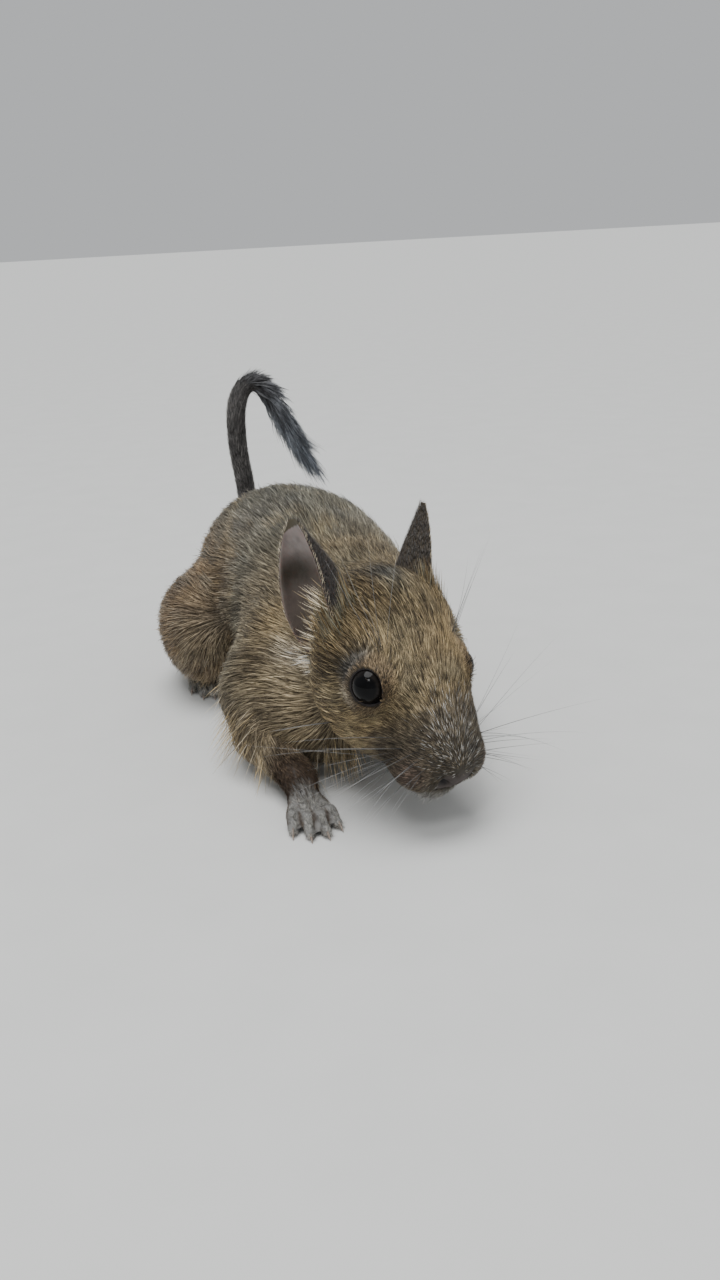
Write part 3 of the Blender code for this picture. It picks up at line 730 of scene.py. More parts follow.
# The opening between the lids: half its width and height in degrees round the eyeball, how far its
# top leans back, and how far its pointed front corner reaches out and how low it lies, in degrees.
LID_WIDE = 49.0
LID_TALL = 55.0
LID_LEAN = 24.0
LID_CORNER = 0.2
LID_CORNER_LOW = 38.0

# The radius of the lids' dark rim, and how far round the eyeball its middle lies past the opening.
LID_RIM = 0.17
LID_PAST = 0.02


def lid_rim(side, count):
    """Directions from the eye's axis round the rim of the lids: the angle off the axis and the spread."""
    centre, across, up, axis = eye_frame(side)
    front = across * -side
    wide, tall = math.radians(LID_WIDE), math.radians(LID_TALL)
    rim = []
    for k in range(count):
        angle = math.tau * k / count
        leaned = angle - math.radians(LID_LEAN)
        open_angle = 1 / math.hypot(math.cos(leaned) / wide, math.sin(leaned) / tall)
        off_corner = math.cos(angle + math.radians(LID_CORNER_LOW))
        open_angle *= 1 + LID_CORNER * max(off_corner, 0) ** 14
        rim.append((open_angle, front * math.cos(angle) + up * math.sin(angle)))
    return centre, axis, rim


def lid_opening(side, count=72):
    """A cone from the middle of the eye outward, whose edge is the rim of the lids."""
    centre, axis, rim = lid_rim(side, count)
    rows = []
    for size in (0.3, 1.0, 1.6):
        reach = size * EYE_RADIUS
        edge = [axis * math.cos(wide) + spread * math.sin(wide) for wide, spread in rim]
        rows.append([centre + direction * reach for direction in edge])
    return tube_solid("Opening", rows)


def lid_ring(side, count=72, sides=8):
    """The rounded dark rim of the lids, lying on the eyeball."""
    centre, axis, rim = lid_rim(side, count)
    mesh = bmesh.new()
    rings = []
    for wide, spread in rim:
        outward = axis * math.cos(wide + LID_PAST) + spread * math.sin(wide + LID_PAST)
        along = spread * math.cos(wide + LID_PAST) - axis * math.sin(wide + LID_PAST)
        middle = centre + outward * (EYE_RADIUS + 0.1)
        ring = []
        for j in range(sides):
            turned = math.tau * j / sides
            place = middle + (outward * math.sin(turned) + along * math.cos(turned)) * LID_RIM
            ring.append(mesh.verts.new(place))
        rings.append(ring)
    for k in range(count):
        first, second = rings[k], rings[(k + 1) % count]
        for j in range(sides):
            mesh.faces.new((first[j], first[(j + 1) % sides], second[(j + 1) % sides], second[j]))
    return closed_solid("Lid", mesh)


# The head's frame: the mouth on the left from under the nose back to its corner, the groove from the
# nose to the mouth, the bare lip and the nostril.
MOUTH_LINE = ((0, -18.6, -13.0), (2.6, -17.6, -13.6), (5.0, -14.2, -13.8), (6.6, -9.6, -13.2))
GROOVE_LINE = ((0, -20.6, -10.2), (0, -19.8, -12.0), (0, -18.6, -13.0))
LIP_LINE = (np.array((6.4, -12.6, -13.0)), np.array((8.0, -16.6, -9.6)))
NOSTRIL = np.array((2.6, -19.9, -10.5))


def on_head(local):
    """The point of the head's own skin nearest to a point in the head's frame."""
    return settle(HEAD.points([local]), GROUPS["head"])[0]


def near_line(points, line):
    """The distance from each point to a line of points."""
    nearest = np.full(len(points), FAR)
    for start, end in zip(line, line[1:]):
        along = end - start
        share = np.clip((points - start) @ along / (along @ along), 0, 1)
        nearest = np.minimum(nearest, np.linalg.norm(points - start - share[:, None] * along, axis=1))
    return nearest


def carve_face(points, normals):
    """Presses the mouth, the nostrils and the groove of the lip into the skin."""
    line = [on_head(np.array(p) * (-1, 1, 1)) for p in MOUTH_LINE[:0:-1]]
    line += [on_head(p) for p in MOUTH_LINE]
    depth = 0.8 * bell(near_line(points, line) / 0.55)
    groove = [on_head(p) for p in GROOVE_LINE]
    depth += 0.5 * bell(near_line(points, groove) / 0.4)
    for side, _ in SIDES:
        hole = on_head(NOSTRIL * (side, 1, 1))
        wing = on_head((NOSTRIL + (1.5, 1.1, 0.9)) * (side, 1, 1))
        depth += 1.8 * bell(near_line(points, [hole, wing]) / 0.7)
        brim = [on_head((NOSTRIL + offset) * (side, 1, 1)) for offset in ((-0.9, 0, 1.3), (1.2, 1.0, 2.0))]
        depth -= 0.3 * bell(near_line(points, brim) / 0.6)
    return points - normals * depth[:, None]


def make_skin():
    """One closed skin over all the flesh, with ears and lids fused to it, in millimetres."""
    mesh = bmesh.new()
    for form in FORMS:
        form.add_shell(mesh)
    skin = solid_from("skin", mesh)
    remesh = skin.modifiers.new("Skin", "REMESH")
    remesh.mode = "VOXEL"
    remesh.voxel_size = SKIN_VOXEL
    apply_modifiers(skin)
    points = settle(read_points(skin.data), FORMS)
    points = carve_face(points, slope_of(points, FORMS))
    points[:, 2] = np.maximum(points[:, 2], 0.02)
    write_points(skin.data, points)
    for side, _ in SIDES:
        centre = eye_frame(side)[0]
        boolean(skin, ball_solid("Socket", centre, EYE_RADIUS + 0.05), "DIFFERENCE")
        boolean(skin, lid_opening(side), "DIFFERENCE")
        boolean(skin, lid_ring(side), "UNION")
        boolean(skin, ear_pocket(side), "DIFFERENCE")
        boolean(skin, ear_solid("Ear", side), "UNION")
    keep_largest(skin)
    return skin


def keep_largest(target):
    """Drops every closed surface but the largest."""
    triangles = read_triangles(target.data)
    count = len(target.data.vertices)
    label = np.arange(count)
    while True:
        lowest = label[triangles].min(axis=1)
        merged = label.copy()
        for corner in range(3):
            np.minimum.at(merged, triangles[:, corner], lowest)
        merged = merged[merged]
        if (merged == label).all():
            break
        label = merged
    names, sizes = np.unique(label, return_counts=True)
    scraps = label != names[sizes.argmax()]
    if scraps.any():
        mesh = bmesh.new()
        mesh.from_mesh(target.data)
        mesh.verts.ensure_lookup_table()
        unwanted = [mesh.verts[k] for k in np.flatnonzero(scraps)]
        bmesh.ops.delete(mesh, geom=unwanted, context="VERTS")
        mesh.to_mesh(target.data)
        mesh.free()


# The colours of the coat and of the skin.


def mix(first, second, share):
    """Blends two colours, or rows of colours, by a share for each point."""
    share = np.clip(share, 0, 1)[:, None]
    return np.asarray(first) * (1 - share) + np.asarray(second) * share


def layered(colour, *layers):
    """Lays each tint over the colour by its share at each point."""
    for tint, share in layers:
        colour = mix(colour, tint, share)
    return colour


def group_shares(points):
    """How much each point belongs to each part of the body."""
    near = np.stack([field(points, forms) for forms in GROUPS.values()], 1)
    shares = np.exp(-(near - near.min(axis=1, keepdims=True)) / 1.6)
    shares /= shares.sum(axis=1, keepdims=True)
    return dict(zip(GROUPS, shares.T))


def both(shares, kind):
    return shares[f"{kind}_right"] + shares[f"{kind}_left"]


def legs_and_feet(shares):
    legs = both(shares, "foreleg") + both(shares, "hindleg")
    return legs, both(shares, "forefoot") + both(shares, "hindfoot")


def head_places(points):
    """Each point in the head's frame, folded onto the left, and the distance to the nearer eye."""
    local = HEAD.local(points)
    on_right = local[:, :1] < 0
    folded = local * np.where(on_right, (-1.0, 1.0, 1.0), (1.0, 1.0, 1.0))
    eyes = np.where(on_right, EYE_PLACES[-1], EYE_PLACES[1])
    return local, folded, np.linalg.norm(folded - eyes, axis=1)


def head_colour(points):
    local, folded, to_eye = head_places(points)
    x, y, z = folded.T
    mottle = noise(points, 5.0, 3)
    muzzle = step(-8.0, -15.0, y + 0.4 * z + 3.5 * mottle)
    colour = layered(
        mix(GOLD, OLIVE, 0.3 + 0.35 * mottle),
        (STRAW, 0.5 * step(0.0, 0.8, noise(points, 2.0, 4))),
        (DUN, 0.85 * muzzle),
        (GREY, 0.5 * muzzle * step(0.0, 0.8, noise(points, 2.4, 21)) * step(7.0, 2.0, x)),
    )
    # Painted shade: darker over the top of the head, lighter low on the cheeks and jaw.
    colour = colour * (0.76 + 0.38 * step(-2.0, -9.0, z) * step(-12.0, -6.0, y))[:, None]
    crown = bell((local[:, 0] - 3.0) / 4.4, (y - 16.0) / 4.6) * step(4, 8, z)
    brow = bell((x - 10.6) / 3.0, (y - 1.2) / 3.2, (z - 5.8) / 1.9)
    behind_eye = bell((to_eye - 5.2) / 1.5) * step(0.5, 3.0, y) * step(-2.5, 1.0, z)
    chin = step(-12.5, -15.5, z) * step(-4, -9, y)
    throat = step(-12.0, -16.0, z) * step(-9, -3, y)
    notch = np.linalg.norm(folded - EAR_NOTCH - (1.8, -0.2, -2.6), axis=1)
    base = np.linalg.norm(folded - EAR_NOTCH - (-1.5, -6.0, 4.0), axis=1)
    return layered(
        colour,
        (SLATE, 0.9 * crown),
        (STRAW, 0.75 * brow),
        (BROWN, 0.6 * bell((to_eye - 4.6) / 0.9)),
        (CREAM, 0.6 * bell((to_eye - 5.0) / 0.5) * step(0.0, -2.5, z) * step(-3.0, 0.0, y)),
        (SLATE, 0.7 * behind_eye),
        (LIP, 0.75 * bell(near_line(folded, LIP_LINE) / 2.4)),
        (WHITE, 0.6 * chin),
        (CREAM, 0.35 * throat),
        (CREAM, 0.6 * bell(notch / 3.0)),
        (STRAW, 0.5 * bell(base / 3.5)),
    )


def body_colour(points):
    _, y, z = points.T
    mottle = noise(points, 9.0, 5)
    fine = noise(points, 3.5, 6)
    rear, shoulder = step(-24, 6, y), step(-8, -44, y)
    return layered(
        mix(OLIVE, GREY, 0.5 + 0.4 * mottle),
        (RUST, (0.65 + 0.3 * fine) * rear * step(50, 30, z)),
        (GOLD, (0.5 + 0.4 * mottle) * shoulder),
        # Painted shadow low on the shoulders.
        (BROWN, 0.4 * shoulder * step(30, 10, z)),
        (STRAW, 0.4 * step(0.2, 0.9, fine)),
        (SLATE, 0.45 * step(0.2, 0.9, -fine) * step(20, 38, z)),
        (CREAM, 0.4 * step(14.0, 5.0, z)),
    )


def foot_colour(points):
    """White toes below a brown wrist, with painted shade in the gaps between the fingers."""
    ahead = np.full(len(points), -FAR)
    for side, _ in SIDES:
        local = forefoot_frame(side).local(points)
        near = np.linalg.norm(local - (0, -8, 2), axis=1) < 16
        ahead[near] = -local[near, 1]
    for side, _ in SIDES:
        local = hindfoot_frame(side).local(points)
        near = np.linalg.norm(local - (0, -15, 2), axis=1) < 22
        ahead[near] = 9.0 - 0.15 * local[near, 1]
    colour = mix(BROWN, PALE, step(2.6, 4.2, ahead))
    limit = 0.5 + 0.4 * step(4, 8, ahead)
    # Painted shade in the gaps between the fingers.
    gap_shade = step(0.0, 0.25, finger_distance(points) - limit) * step(3.5, 5, ahead)
    return mix(colour, BROWN, 0.8 * (gap_shade * step(-40, -44, points[:, 1])))


def leg_colour(points):
    """Brown towards the wrists."""
    colour = body_colour(points)
    nearness = np.zeros(len(points))
    for side, _ in SIDES:
        wrist = FORELEGS[side][1]
        nearness = np.maximum(nearness, step(15, 5, np.linalg.norm(points - wrist, axis=1)))
    return mix(colour, BROWN, 0.9 * nearness)


# The cream tuft below each ear, in the head's frame.
TUFT_LINE = (np.array((8.6, 24.8, -13.2)), np.array((7.4, 17.3, -10.5)))


def marking_and_shade(points, shares):
    """The colour of the coat at each point, with painted shade on the head's top, the low shoulders and
    between the fingers.
    """
    head = shares["head"] + 0.5 * shares["neck"]
    legs, feet = legs_and_feet(shares)
    tail = shares["tail"]
    rest = np.maximum(1 - head - legs - feet - tail, 0)
    parts = (
        (head, head_colour(points)),
        (legs, leg_colour(points)),
        (feet, foot_colour(points)),
        (tail, mix(OLIVE, SMOKE, step(24, 34, points[:, 2]))),
        (rest, body_colour(points)),
    )
    colour = sum(share[:, None] * colour for share, colour in parts)
    below_ear = near_line(head_places(points)[1], TUFT_LINE)
    return mix(colour, CREAM, 1.1 * bell(below_ear / 2.3))


def ear_places(points):
    """For each point: how far up the nearer ear it is, how far round, and which way is out of the wall."""
    local, folded, _ = head_places(points)
    rise = np.zeros(len(points))
    turned = np.zeros(len(points))
    radial = np.zeros((len(points), 3))
    for side, _ in SIDES:
        mine = local[:, 0] * side > 0
        up, out, front = ear_axes(side)
        offset = folded[mine] - EAR_NOTCH
        rise[mine] = offset @ up / EAR_HEIGHT
        half = np.interp(rise[mine], EAR_STATIONS, EAR_LEAF) * EAR_WIDTH * EAR_BREADTH[side] / 2
        curl = np.radians(np.interp(rise[mine], EAR_STATIONS, EAR_CURL)) * EAR_CLOSING[side]
        radius = half / np.sin(np.minimum(curl, math.pi / 2))
        ahead = offset @ out - ear_lean(rise[mine]) - radius * np.cos(curl)
        across = offset @ front
        turned[mine] = np.arctan2(across, -ahead) / curl
        spoke = np.outer(across, front) + np.outer(ahead, out)
        radial[mine] = units(spoke) * (side, 1, 1)
    radial = radial @ HEAD.rotation.T
    return rise, turned, radial


def nose_pad(folded):
    """How surely a place in the head's frame lies on the bare pad of the nose."""
    x, y, z = folded.T
    return np.exp(-((x / 4.3) ** 4) - ((y + 20.8) / 2.8) ** 2 - ((z + 10.7) / 2.6) ** 4)


def ear_lining(points, rise, turned):
    """Inside the cup: greyer to the tip, with painted shade in its folds, its low front gap and its bottom,
    a rosy middle and a painted pale sheen low down.
    """
    crease = noise(np.stack([rise * 30 + turned * 9, turned * 2, rise], 1), 1.6, 24)
    return layered(
        mix(MAUVE, ASH, step(0.5, 0.75, rise + 0.1 * turned)),
        (ROSE, 0.9 * bell((rise - 0.5) / 0.14) * step(-0.6, 0.0, turned)),
        # Painted shade in the folds higher up the cup.
        (DUSK, 0.45 * step(0.1, 0.9, crease) * step(0.4, 0.6, rise)),
        (DUSK, 0.95 * bell((rise - 0.59) / 0.12) * step(-0.1, -0.6, turned)),
        # A painted pale sheen low down in the cup.
        (PAINTED_SHEEN, 0.8 * bell((rise - 0.27) / 0.09, (turned + 0.3) / 0.3)),
        # Painted shade in the gap low down where the cup's front edge curls in.
        (DUSK, 0.9 * step(0.25, 0.8, turned) * step(0.5, 0.3, rise)),
        # Painted shade deep at the bottom of the cup.
        (DUSK, 0.35 * step(0.16, 0.06, rise)),
        (DUSK, 0.2 * step(0.1, 0.8, noise(points, 2.6, 8))),
        (RIM, 0.7 * (step(0.93, 0.985, np.abs(turned)) * step(0.1, 0.2, rise))),
    )


def skin_colour(points, normals, shares, outside):
    """The same markings on the skin, darkened as painted shade under the coat, with the bare places: nose,
    lids, ears, toes and soles.
    """
    _, folded, to_eye = head_places(points)
    head = shares["head"]
    feet = legs_and_feet(shares)[1]
    hole = near_line(folded, [NOSTRIL + (0.1, 0.9, 0.1), NOSTRIL + (1.5, 1.9, 0.9)])
    colour = layered(
        # The coat's colours darkened: painted shade deep under the hair.
        marking_and_shade(points, shares) * SKIN_SHADE,
        (NOSE, head * step(0.25, 0.5, nose_pad(folded))),
        # Painted shade in the nostrils.
        (NOSTRIL_SHADE, head * step(1.3, 0.8, hole)),
        (DUSK, head * step(EYE_RADIUS + 0.6, EYE_RADIUS + 0.3, to_eye)),
        (foot_colour(points) * FOOT_SHADE, feet),
        (ROSE, feet * step(0.9, 0.3, points[:, 2]) * 0.6),
    )
    rise, turned, radial = ear_places(points)
    ear = step(0.15, 0.6, outside) * step(5.8, 7.0, to_eye) * head
    inner = dots(normals, radial) < 0
    back = mix(DUSK, SMOKE, 0.3 + 0.4 * noise(points, 4.0, 9))
    tint = np.where(inner[:, None], ear_lining(points, rise, turned), back)
    return mix(colour, tint, ear), ear


def flat_attribute(mesh, name, kind, values):
    attribute = mesh.attributes.new(name, kind, "POINT")
    key = {"FLOAT": "value", "FLOAT_COLOR": "color"}[kind]
    attribute.data.foreach_set(key, np.asarray(values, np.float32).ravel())


def with_alpha(colour):
    return np.concatenate([colour, np.ones((len(colour), 1))], 1)


# The materials.


class Shader:
    """A small helper that builds a material out of nodes."""

    def __init__(self, name, roughness, **settings):
        self.material = bpy.data.materials.new(name)
        self.material.use_nodes = True
        self.tree = self.material.node_tree
        self.surface = self.tree.nodes["Principled BSDF"]
        self.surface.inputs["Roughness"].default_value = roughness
        for key, value in settings.items():
            self.surface.inputs[key.replace("_", " ")].default_value = value

    def node(self, kind, inputs=(), **settings):
        made = self.tree.nodes.new(kind)
        for key, value in settings.items():
            setattr(made, key, value)
        for key, value in dict(inputs).items():
            if isinstance(value, bpy.types.NodeSocket):
                self.tree.links.new(value, made.inputs[key])
            else:
                made.inputs[key].default_value = value
        return made

    def attribute(self, name, output="Fac"):
        return self.node("ShaderNodeAttribute", attribute_name=name).outputs[output]

    def ramp(self, value, stops):
        made = self.node("ShaderNodeValToRGB", {"Fac": value})
        elements = made.color_ramp.elements
        while len(elements) < len(stops):
            elements.new(0.5)
        for element, (place, shade) in zip(elements, stops):
            element.position = place
            colour = shade if isinstance(shade, tuple) else (shade, shade, shade)
            element.color = (*colour, 1.0)
        return made.outputs["Color"]

    def place(self):
        return self.node("ShaderNodeTexCoord").outputs["Object"]

    def noise(self, scale, detail, place=None):
        inputs = {"Vector": place or self.place(), "Scale": scale, "Detail": detail}
        return self.node("ShaderNodeTexNoise", inputs).outputs["Fac"]

    def paint(self, colour, *layers):
        """The base colour: the first colour multiplied by each layer."""
        for layer in layers:
            inputs = {"Factor": 1.0, 6: colour, 7: layer}
            colour = self.node("ShaderNodeMix", inputs, data_type="RGBA", blend_type="MULTIPLY").outputs[2]
        self.tree.links.new(colour, self.surface.inputs["Base Color"])

    def bump(self, height, strength, distance):
        made = self.node("ShaderNodeBump", {"Height": height, "Strength": strength, "Distance": distance})
        self.tree.links.new(made.outputs["Normal"], self.surface.inputs["Normal"])


def hair_material(name, roots=0.35, tips=0.55, gloss=0.55):
    """Banded hair: dark at the root, light in the middle, darker again at the tip."""
    shader = Shader(name, gloss, Specular_IOR_Level=0.3)
    bands = ((0.0, roots), (0.3, 0.65), (0.55, 1.1), (0.85, 1.05), (1.0, tips))
    tones = (
        (0.0, (0.13, 0.115, 0.11)),
        (0.28, (0.36, 0.335, 0.32)),
        (0.55, (0.95, 0.93, 0.90)),
        (0.8, (1.55, 1.52, 1.46)),
        (1.0, (2.2, 2.2, 2.15)),
    )
    shader.paint(
        shader.attribute("marking_and_shade", "Color"),
        shader.ramp(shader.attribute("along"), bands),
        shader.ramp(shader.attribute("tone"), tones),
        shader.ramp(shader.noise(900.0, 3.0), ((0.3, 0.78), (0.7, 1.2))),
    )
    return shader.material


def skin_material(name):
    shader = Shader(name, 0.6, Specular_IOR_Level=0.35)
    shade = shader.ramp(shader.noise(350.0, 3.0), ((0.25, 0.75), (0.75, 1.2)))
    shader.paint(shader.attribute("marking_and_shade", "Color"), shade)
    shader.bump(shader.noise(1600.0, 4.0), 0.4, 0.0002)
    return shader.material


def ear_material(name):
    """Thin skin that lets some light through, with fine veins of darker tone."""
    shader = Shader(name, 0.5, Specular_IOR_Level=0.4, Subsurface_Weight=0.25, Subsurface_Scale=0.001)
    shader.surface.inputs["Subsurface Radius"].default_value = (1.0, 0.35, 0.25)
    stretched = shader.node("ShaderNodeMapping", {"Vector": shader.place(), "Scale": (1.0, 1.0, 0.35)})
    veins = shader.noise(420.0, 5.0, stretched.outputs["Vector"])
    shade = shader.ramp(veins, ((0.25, 0.6), (0.5, 1.0), (0.8, 1.25)))
    shader.paint(shader.attribute("marking_and_shade", "Color"), shade)
    shader.bump(shader.noise(1200.0, 4.0), 0.5, 0.0002)
    return shader.material


def banded_material(name, gloss, bands, grain, shades, **settings):
    """Colour that changes along the piece, under a fine grain of two shades."""
    shader = Shader(name, gloss, **settings)
    tint = shader.ramp(shader.attribute("along"), bands)
    shader.paint(tint, shader.ramp(shader.noise(*grain), tuple(zip((0.3, 0.7), shades))))
    return shader.material


# From the middle of the eye out: a wide pupil, a very dark brown iris and its edge.
EYE_BANDS = (
    (0.0, (0.0015, 0.0015, 0.002)),
    (0.36, (0.002, 0.002, 0.0025)),
    (0.43, (0.010, 0.008, 0.007)),
    (0.6, (0.007, 0.006, 0.006)),
    (0.72, (0.02, 0.019, 0.02)),
)
CLAW_BANDS = ((0.0, (0.2, 0.14, 0.115)), (0.5, (0.22, 0.17, 0.14)), (1.0, (0.33, 0.28, 0.23)))
WHISKER_BANDS = ((0.0, 0.03), (0.2, 0.09), (0.5, 0.26), (1.0, 0.5))
HORN = {"Specular_IOR_Level": 0.5, "Subsurface_Weight": 0.1, "Subsurface_Scale": 0.001}


COAT = hair_material("coat_hair")
TAIL_HAIR = hair_material("tail_hair", roots=0.5, tips=1.0, gloss=0.4)
FINE_HAIR = hair_material("fine_hair", roots=0.7, tips=1.0, gloss=0.5)
SKIN = skin_material("bare_skin")
EAR_SKIN = ear_material("ear_skin")
EYE = banded_material("wet_eye", 0.05, EYE_BANDS, (900.0, 3.0), (0.5, 1.4), Specular_IOR_Level=0.13)
CLAW = banded_material("claw_horn", 0.35, CLAW_BANDS, (1500.0, 2.0), (0.8, 1.15), **HORN)
WHISKER = banded_material(
    "whisker_hair", 0.4, WHISKER_BANDS, (700.0, 2.0), (0.8, 1.15), Specular_IOR_Level=0.5
)


# Tufts of hair.


def triangle_mesh(name, points, triangles):
    mesh = bpy.data.meshes.new(name)
    mesh.vertices.add(len(points))
    mesh.vertices.foreach_set("co", np.asarray(points, np.float32).ravel())
    mesh.loops.add(len(triangles) * 3)
    mesh.loops.foreach_set("vertex_index", np.asarray(triangles, np.int32).ravel())
    mesh.polygons.add(len(triangles))
    mesh.polygons.foreach_set("loop_start", np.arange(0, len(triangles) * 3, 3, dtype=np.int32))
    mesh.update(calc_edges=True)
    mesh.shade_smooth()
    return mesh


def hair_piece(name, points, triangles, columns, places, material):
    """A mesh of closed hairs with what its material reads at each point and its place on the map."""
    mesh = triangle_mesh(name, (points + CENTRE_SHIFT) * MM, triangles)
    along, tone, colour = columns
    flat_attribute(mesh, "along", "FLOAT", along)
    flat_attribute(mesh, "tone", "FLOAT", tone)
    flat_attribute(mesh, "marking_and_shade", "FLOAT_COLOR", with_alpha(colour))
    layer = mesh.uv_layers.new(name="OFBake")
    layer.data.foreach_set("uv", places.reshape(-1, 2)[triangles.ravel()].astype(np.float32).ravel())
    mesh.materials.append(material)
    piece = add_object(name, mesh)
    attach(piece, "root")
    print(name, len(triangles))


# Each tuft: for each of its points the row it is in, its place across and its lift.
SPIKE_POINTS = ((0, -1, 0), (0, 0, 1), (0, 1, 0), (2, 0, 0.3))
SPIKE_FACES = ((0, 1, 3), (1, 2, 3), (2, 0, 3), (0, 2, 1))
LOCK_POINTS = ((0, -1, 0), (0, 0, 1), (0, 1, 0), (1, -0.8, 0), (1, 0, 0.8), (1, 0.8, 0), (2, 0, 0.3))
LOCK_FACES = (
    (0, 1, 4), (0, 4, 3), (1, 2, 5), (1, 5, 4), (2, 0, 3), (2, 3, 5),
    (3, 4, 6), (4, 5, 6), (5, 3, 6), (0, 2, 1),
)

# How much narrower a tuft is at its tip, how high it is for its width, and half its size on the map.
TIP_SHARE = 0.12
LIFT_SHARE = 0.3
PATCH = 0.0015


class Tufts:
    """Roots of hair on the skin with all that shapes them."""

    def __init__(self, **columns):
        self.columns = columns

    def __getattr__(self, name):
        return self.columns[name]

    def __len__(self):
        return len(self.columns["root"])

    def take(self, mask):
        return Tufts(**{key: value[mask] for key, value in self.columns.items()})


def tuft_piece(name, tufts, bent, material):
    """One mesh of closed tufts: a spike of 4 triangles or a bent lock of 10."""
    layout = LOCK_POINTS if bent else SPIKE_POINTS
    faces = np.array(LOCK_FACES if bent else SPIKE_FACES)
    lines = (tufts.root, tufts.middle, tufts.tip)
    points, along, patch = [], [], []
    for row, across, lift in layout:
        offset = tufts.side * (across * tufts.width / 2)[:, None]
        offset = offset + tufts.rise * (lift * tufts.width * LIFT_SHARE)[:, None]
        points.append(lines[row] + offset * (TIP_SHARE if row == 2 else 1.0))
        along.append(row / 2)
        patch.append((across * PATCH, (row - 1) * PATCH))
    count = len(layout)
    points = np.stack(points, 1).reshape(-1, 3)
    triangles = (np.arange(len(tufts))[:, None, None] * count + faces).reshape(-1, 3)
    columns = (
        np.tile(along, len(tufts)),
        np.repeat(tufts.tone, count),
        np.repeat(tufts.colour, count, axis=0),
    )
    places = np.clip(tufts.place[:, None, :], PATCH, 1 - PATCH) + np.array(patch)
    hair_piece(name, points, triangles, columns, places, material)


UNWRAP_TRIANGLES = 9000


class Unwrap:
    """A coarser copy of the skin, unwrapped: its triangles and their places on the map."""

    def __init__(self, skin):
        copy = add_object("Unwrap", skin.data.copy())
        coarser = copy.modifiers.new("Coarser", "DECIMATE")
        coarser.ratio = UNWRAP_TRIANGLES / len(read_triangles(copy.data))
        coarser.use_collapse_triangulate = True
        apply_modifiers(copy)
        bpy.context.view_layer.objects.active = copy
        copy.select_set(True)
        bpy.ops.object.mode_set(mode="EDIT")
        bpy.ops.mesh.select_all(action="SELECT")
        bpy.ops.uv.smart_project(angle_limit=math.radians(66), island_margin=0.004)
        bpy.ops.object.mode_set(mode="OBJECT")
        mesh = copy.data
        self.corners = read_points(mesh)[read_triangles(mesh)]
        loops = read(mesh.loop_triangles, "loops", 3, np.int32)
        self.places = read(mesh.uv_layers.active.data, "uv", 2)[loops].astype(float)
        bpy.data.objects.remove(copy)
        centres = self.corners.mean(axis=1)
        self.outside = field(centres, FORMS)
        self.tree = KDTree(len(centres))
        for k, centre in enumerate(centres):
            self.tree.insert(Vector(centre), k)
        self.tree.balance()

    def find(self, points):
        """The place on the map of the skin nearest to each point."""
        nearest = [self.tree.find(Vector(point))[1] for point in points]
        return self.places[nearest].mean(axis=1)


def scatter(corners, places, density, draw):
    """Random points over the triangles, so many to the square millimetre, with their places on the map."""
    sides = np.cross(corners[:, 1] - corners[:, 0], corners[:, 2] - corners[:, 0])
    wanted = np.linalg.norm(sides, axis=1) / 2 * density
    total = np.concatenate([[0], np.cumsum(wanted)])
    count = int(total[-1])
    picked = np.searchsorted(total, (np.arange(count) + draw.random(count)) * total[-1] / count) - 1
    picked = np.clip(picked, 0, len(corners) - 1)
    a, b = draw.random((2, count))
    over = a + b > 1
    a[over], b[over] = 1 - a[over], 1 - b[over]
    weights = np.stack([1 - a - b, a, b], 1)
    points = np.einsum("ij,ijk->ik", weights, corners[picked])
    return points, np.einsum("ij,ijk->ik", weights, places[picked])


def foreleg_lie(points, side):
    elbow, wrist, _ = FORELEGS[side]
    share = np.clip((points - elbow) @ (wrist - elbow) / np.linalg.norm(wrist - elbow) ** 2, -1, 1)
    return mix((0.0, 0.35, -0.9), unit(wrist - elbow), step(-0.1, 0.5, share))


def tail_lie(points):
    nearest = np.zeros(len(points), int)
    best = np.full(len(points), 1e9)
    for k, place in enumerate(TAIL_POINTS):
        apart = np.linalg.norm(points - place, axis=1)
        closer = apart < best
        nearest[closer] = k
        best[closer] = apart[closer]
    return TAIL_HEADINGS[nearest], TAIL_STEPS[nearest]


def head_lie(points):
    """Back from the nose, down the cheeks a little, and round the eyes."""
    local, folded, to_eye = head_places(points)
    x, y, z = folded.T
    lie = np.zeros_like(folded)
    lie[:, 1] = 1.0
    lie[:, 2] = -0.35 * step(0, -9, z) + 0.25 * step(4, 9, z) * step(6, -6, y)
    lie[:, 0] = 0.25 * step(-4, -14, y) * step(0, 6, x)
    away = folded - EYE_PLACES[-1]
    forward = dots(away, lie) / np.maximum(np.linalg.norm(lie, axis=1), 1e-9)
    beside = away - lie * forward[:, None]
    lie = units(lie) + units(beside) * (1.3 * step(9.5, 4.8, to_eye))[:, None]
    lie[:, 0] *= np.where(local[:, 0] < 0, -1, 1)
    return units(lie) @ HEAD.rotation.T


def coat_lie(points, normals, shares):
    """The way the hair lies at each point, along the skin."""
    x, y, z = points.T
    body = np.stack([0 * x, 0 * x + 1.0, -0.55 * step(42, 20, z)], 1)
    body[:, 2] -= 1.2 * step(38, 50, y)
    neck = np.stack([0 * x, 0 * x + 1.0, -0.3 * step(34, 20, z)], 1)
    thigh = np.tile((0.0, 0.8, -0.6), (len(points), 1))
    lie = (
        shares["torso"][:, None] * units(body)
        + shares["neck"][:, None] * units(neck)
        + shares["head"][:, None] * head_lie(points)
        + both(shares, "hindleg")[:, None] * units(thigh)
        + shares["tail"][:, None] * tail_lie(points)[0]
    )
    for side, label in SIDES:
        lie += shares[f"foreleg_{label}"][:, None] * units(foreleg_lie(points, side))
        lie += shares[f"forefoot_{label}"][:, None] * forefoot_frame(side).turned((0, -1, 0))
        lie += shares[f"hindfoot_{label}"][:, None] * hindfoot_frame(side).turned((0, -1, 0))
    lie -= normals * dots(lie, normals)[:, None]
    return units(lie)


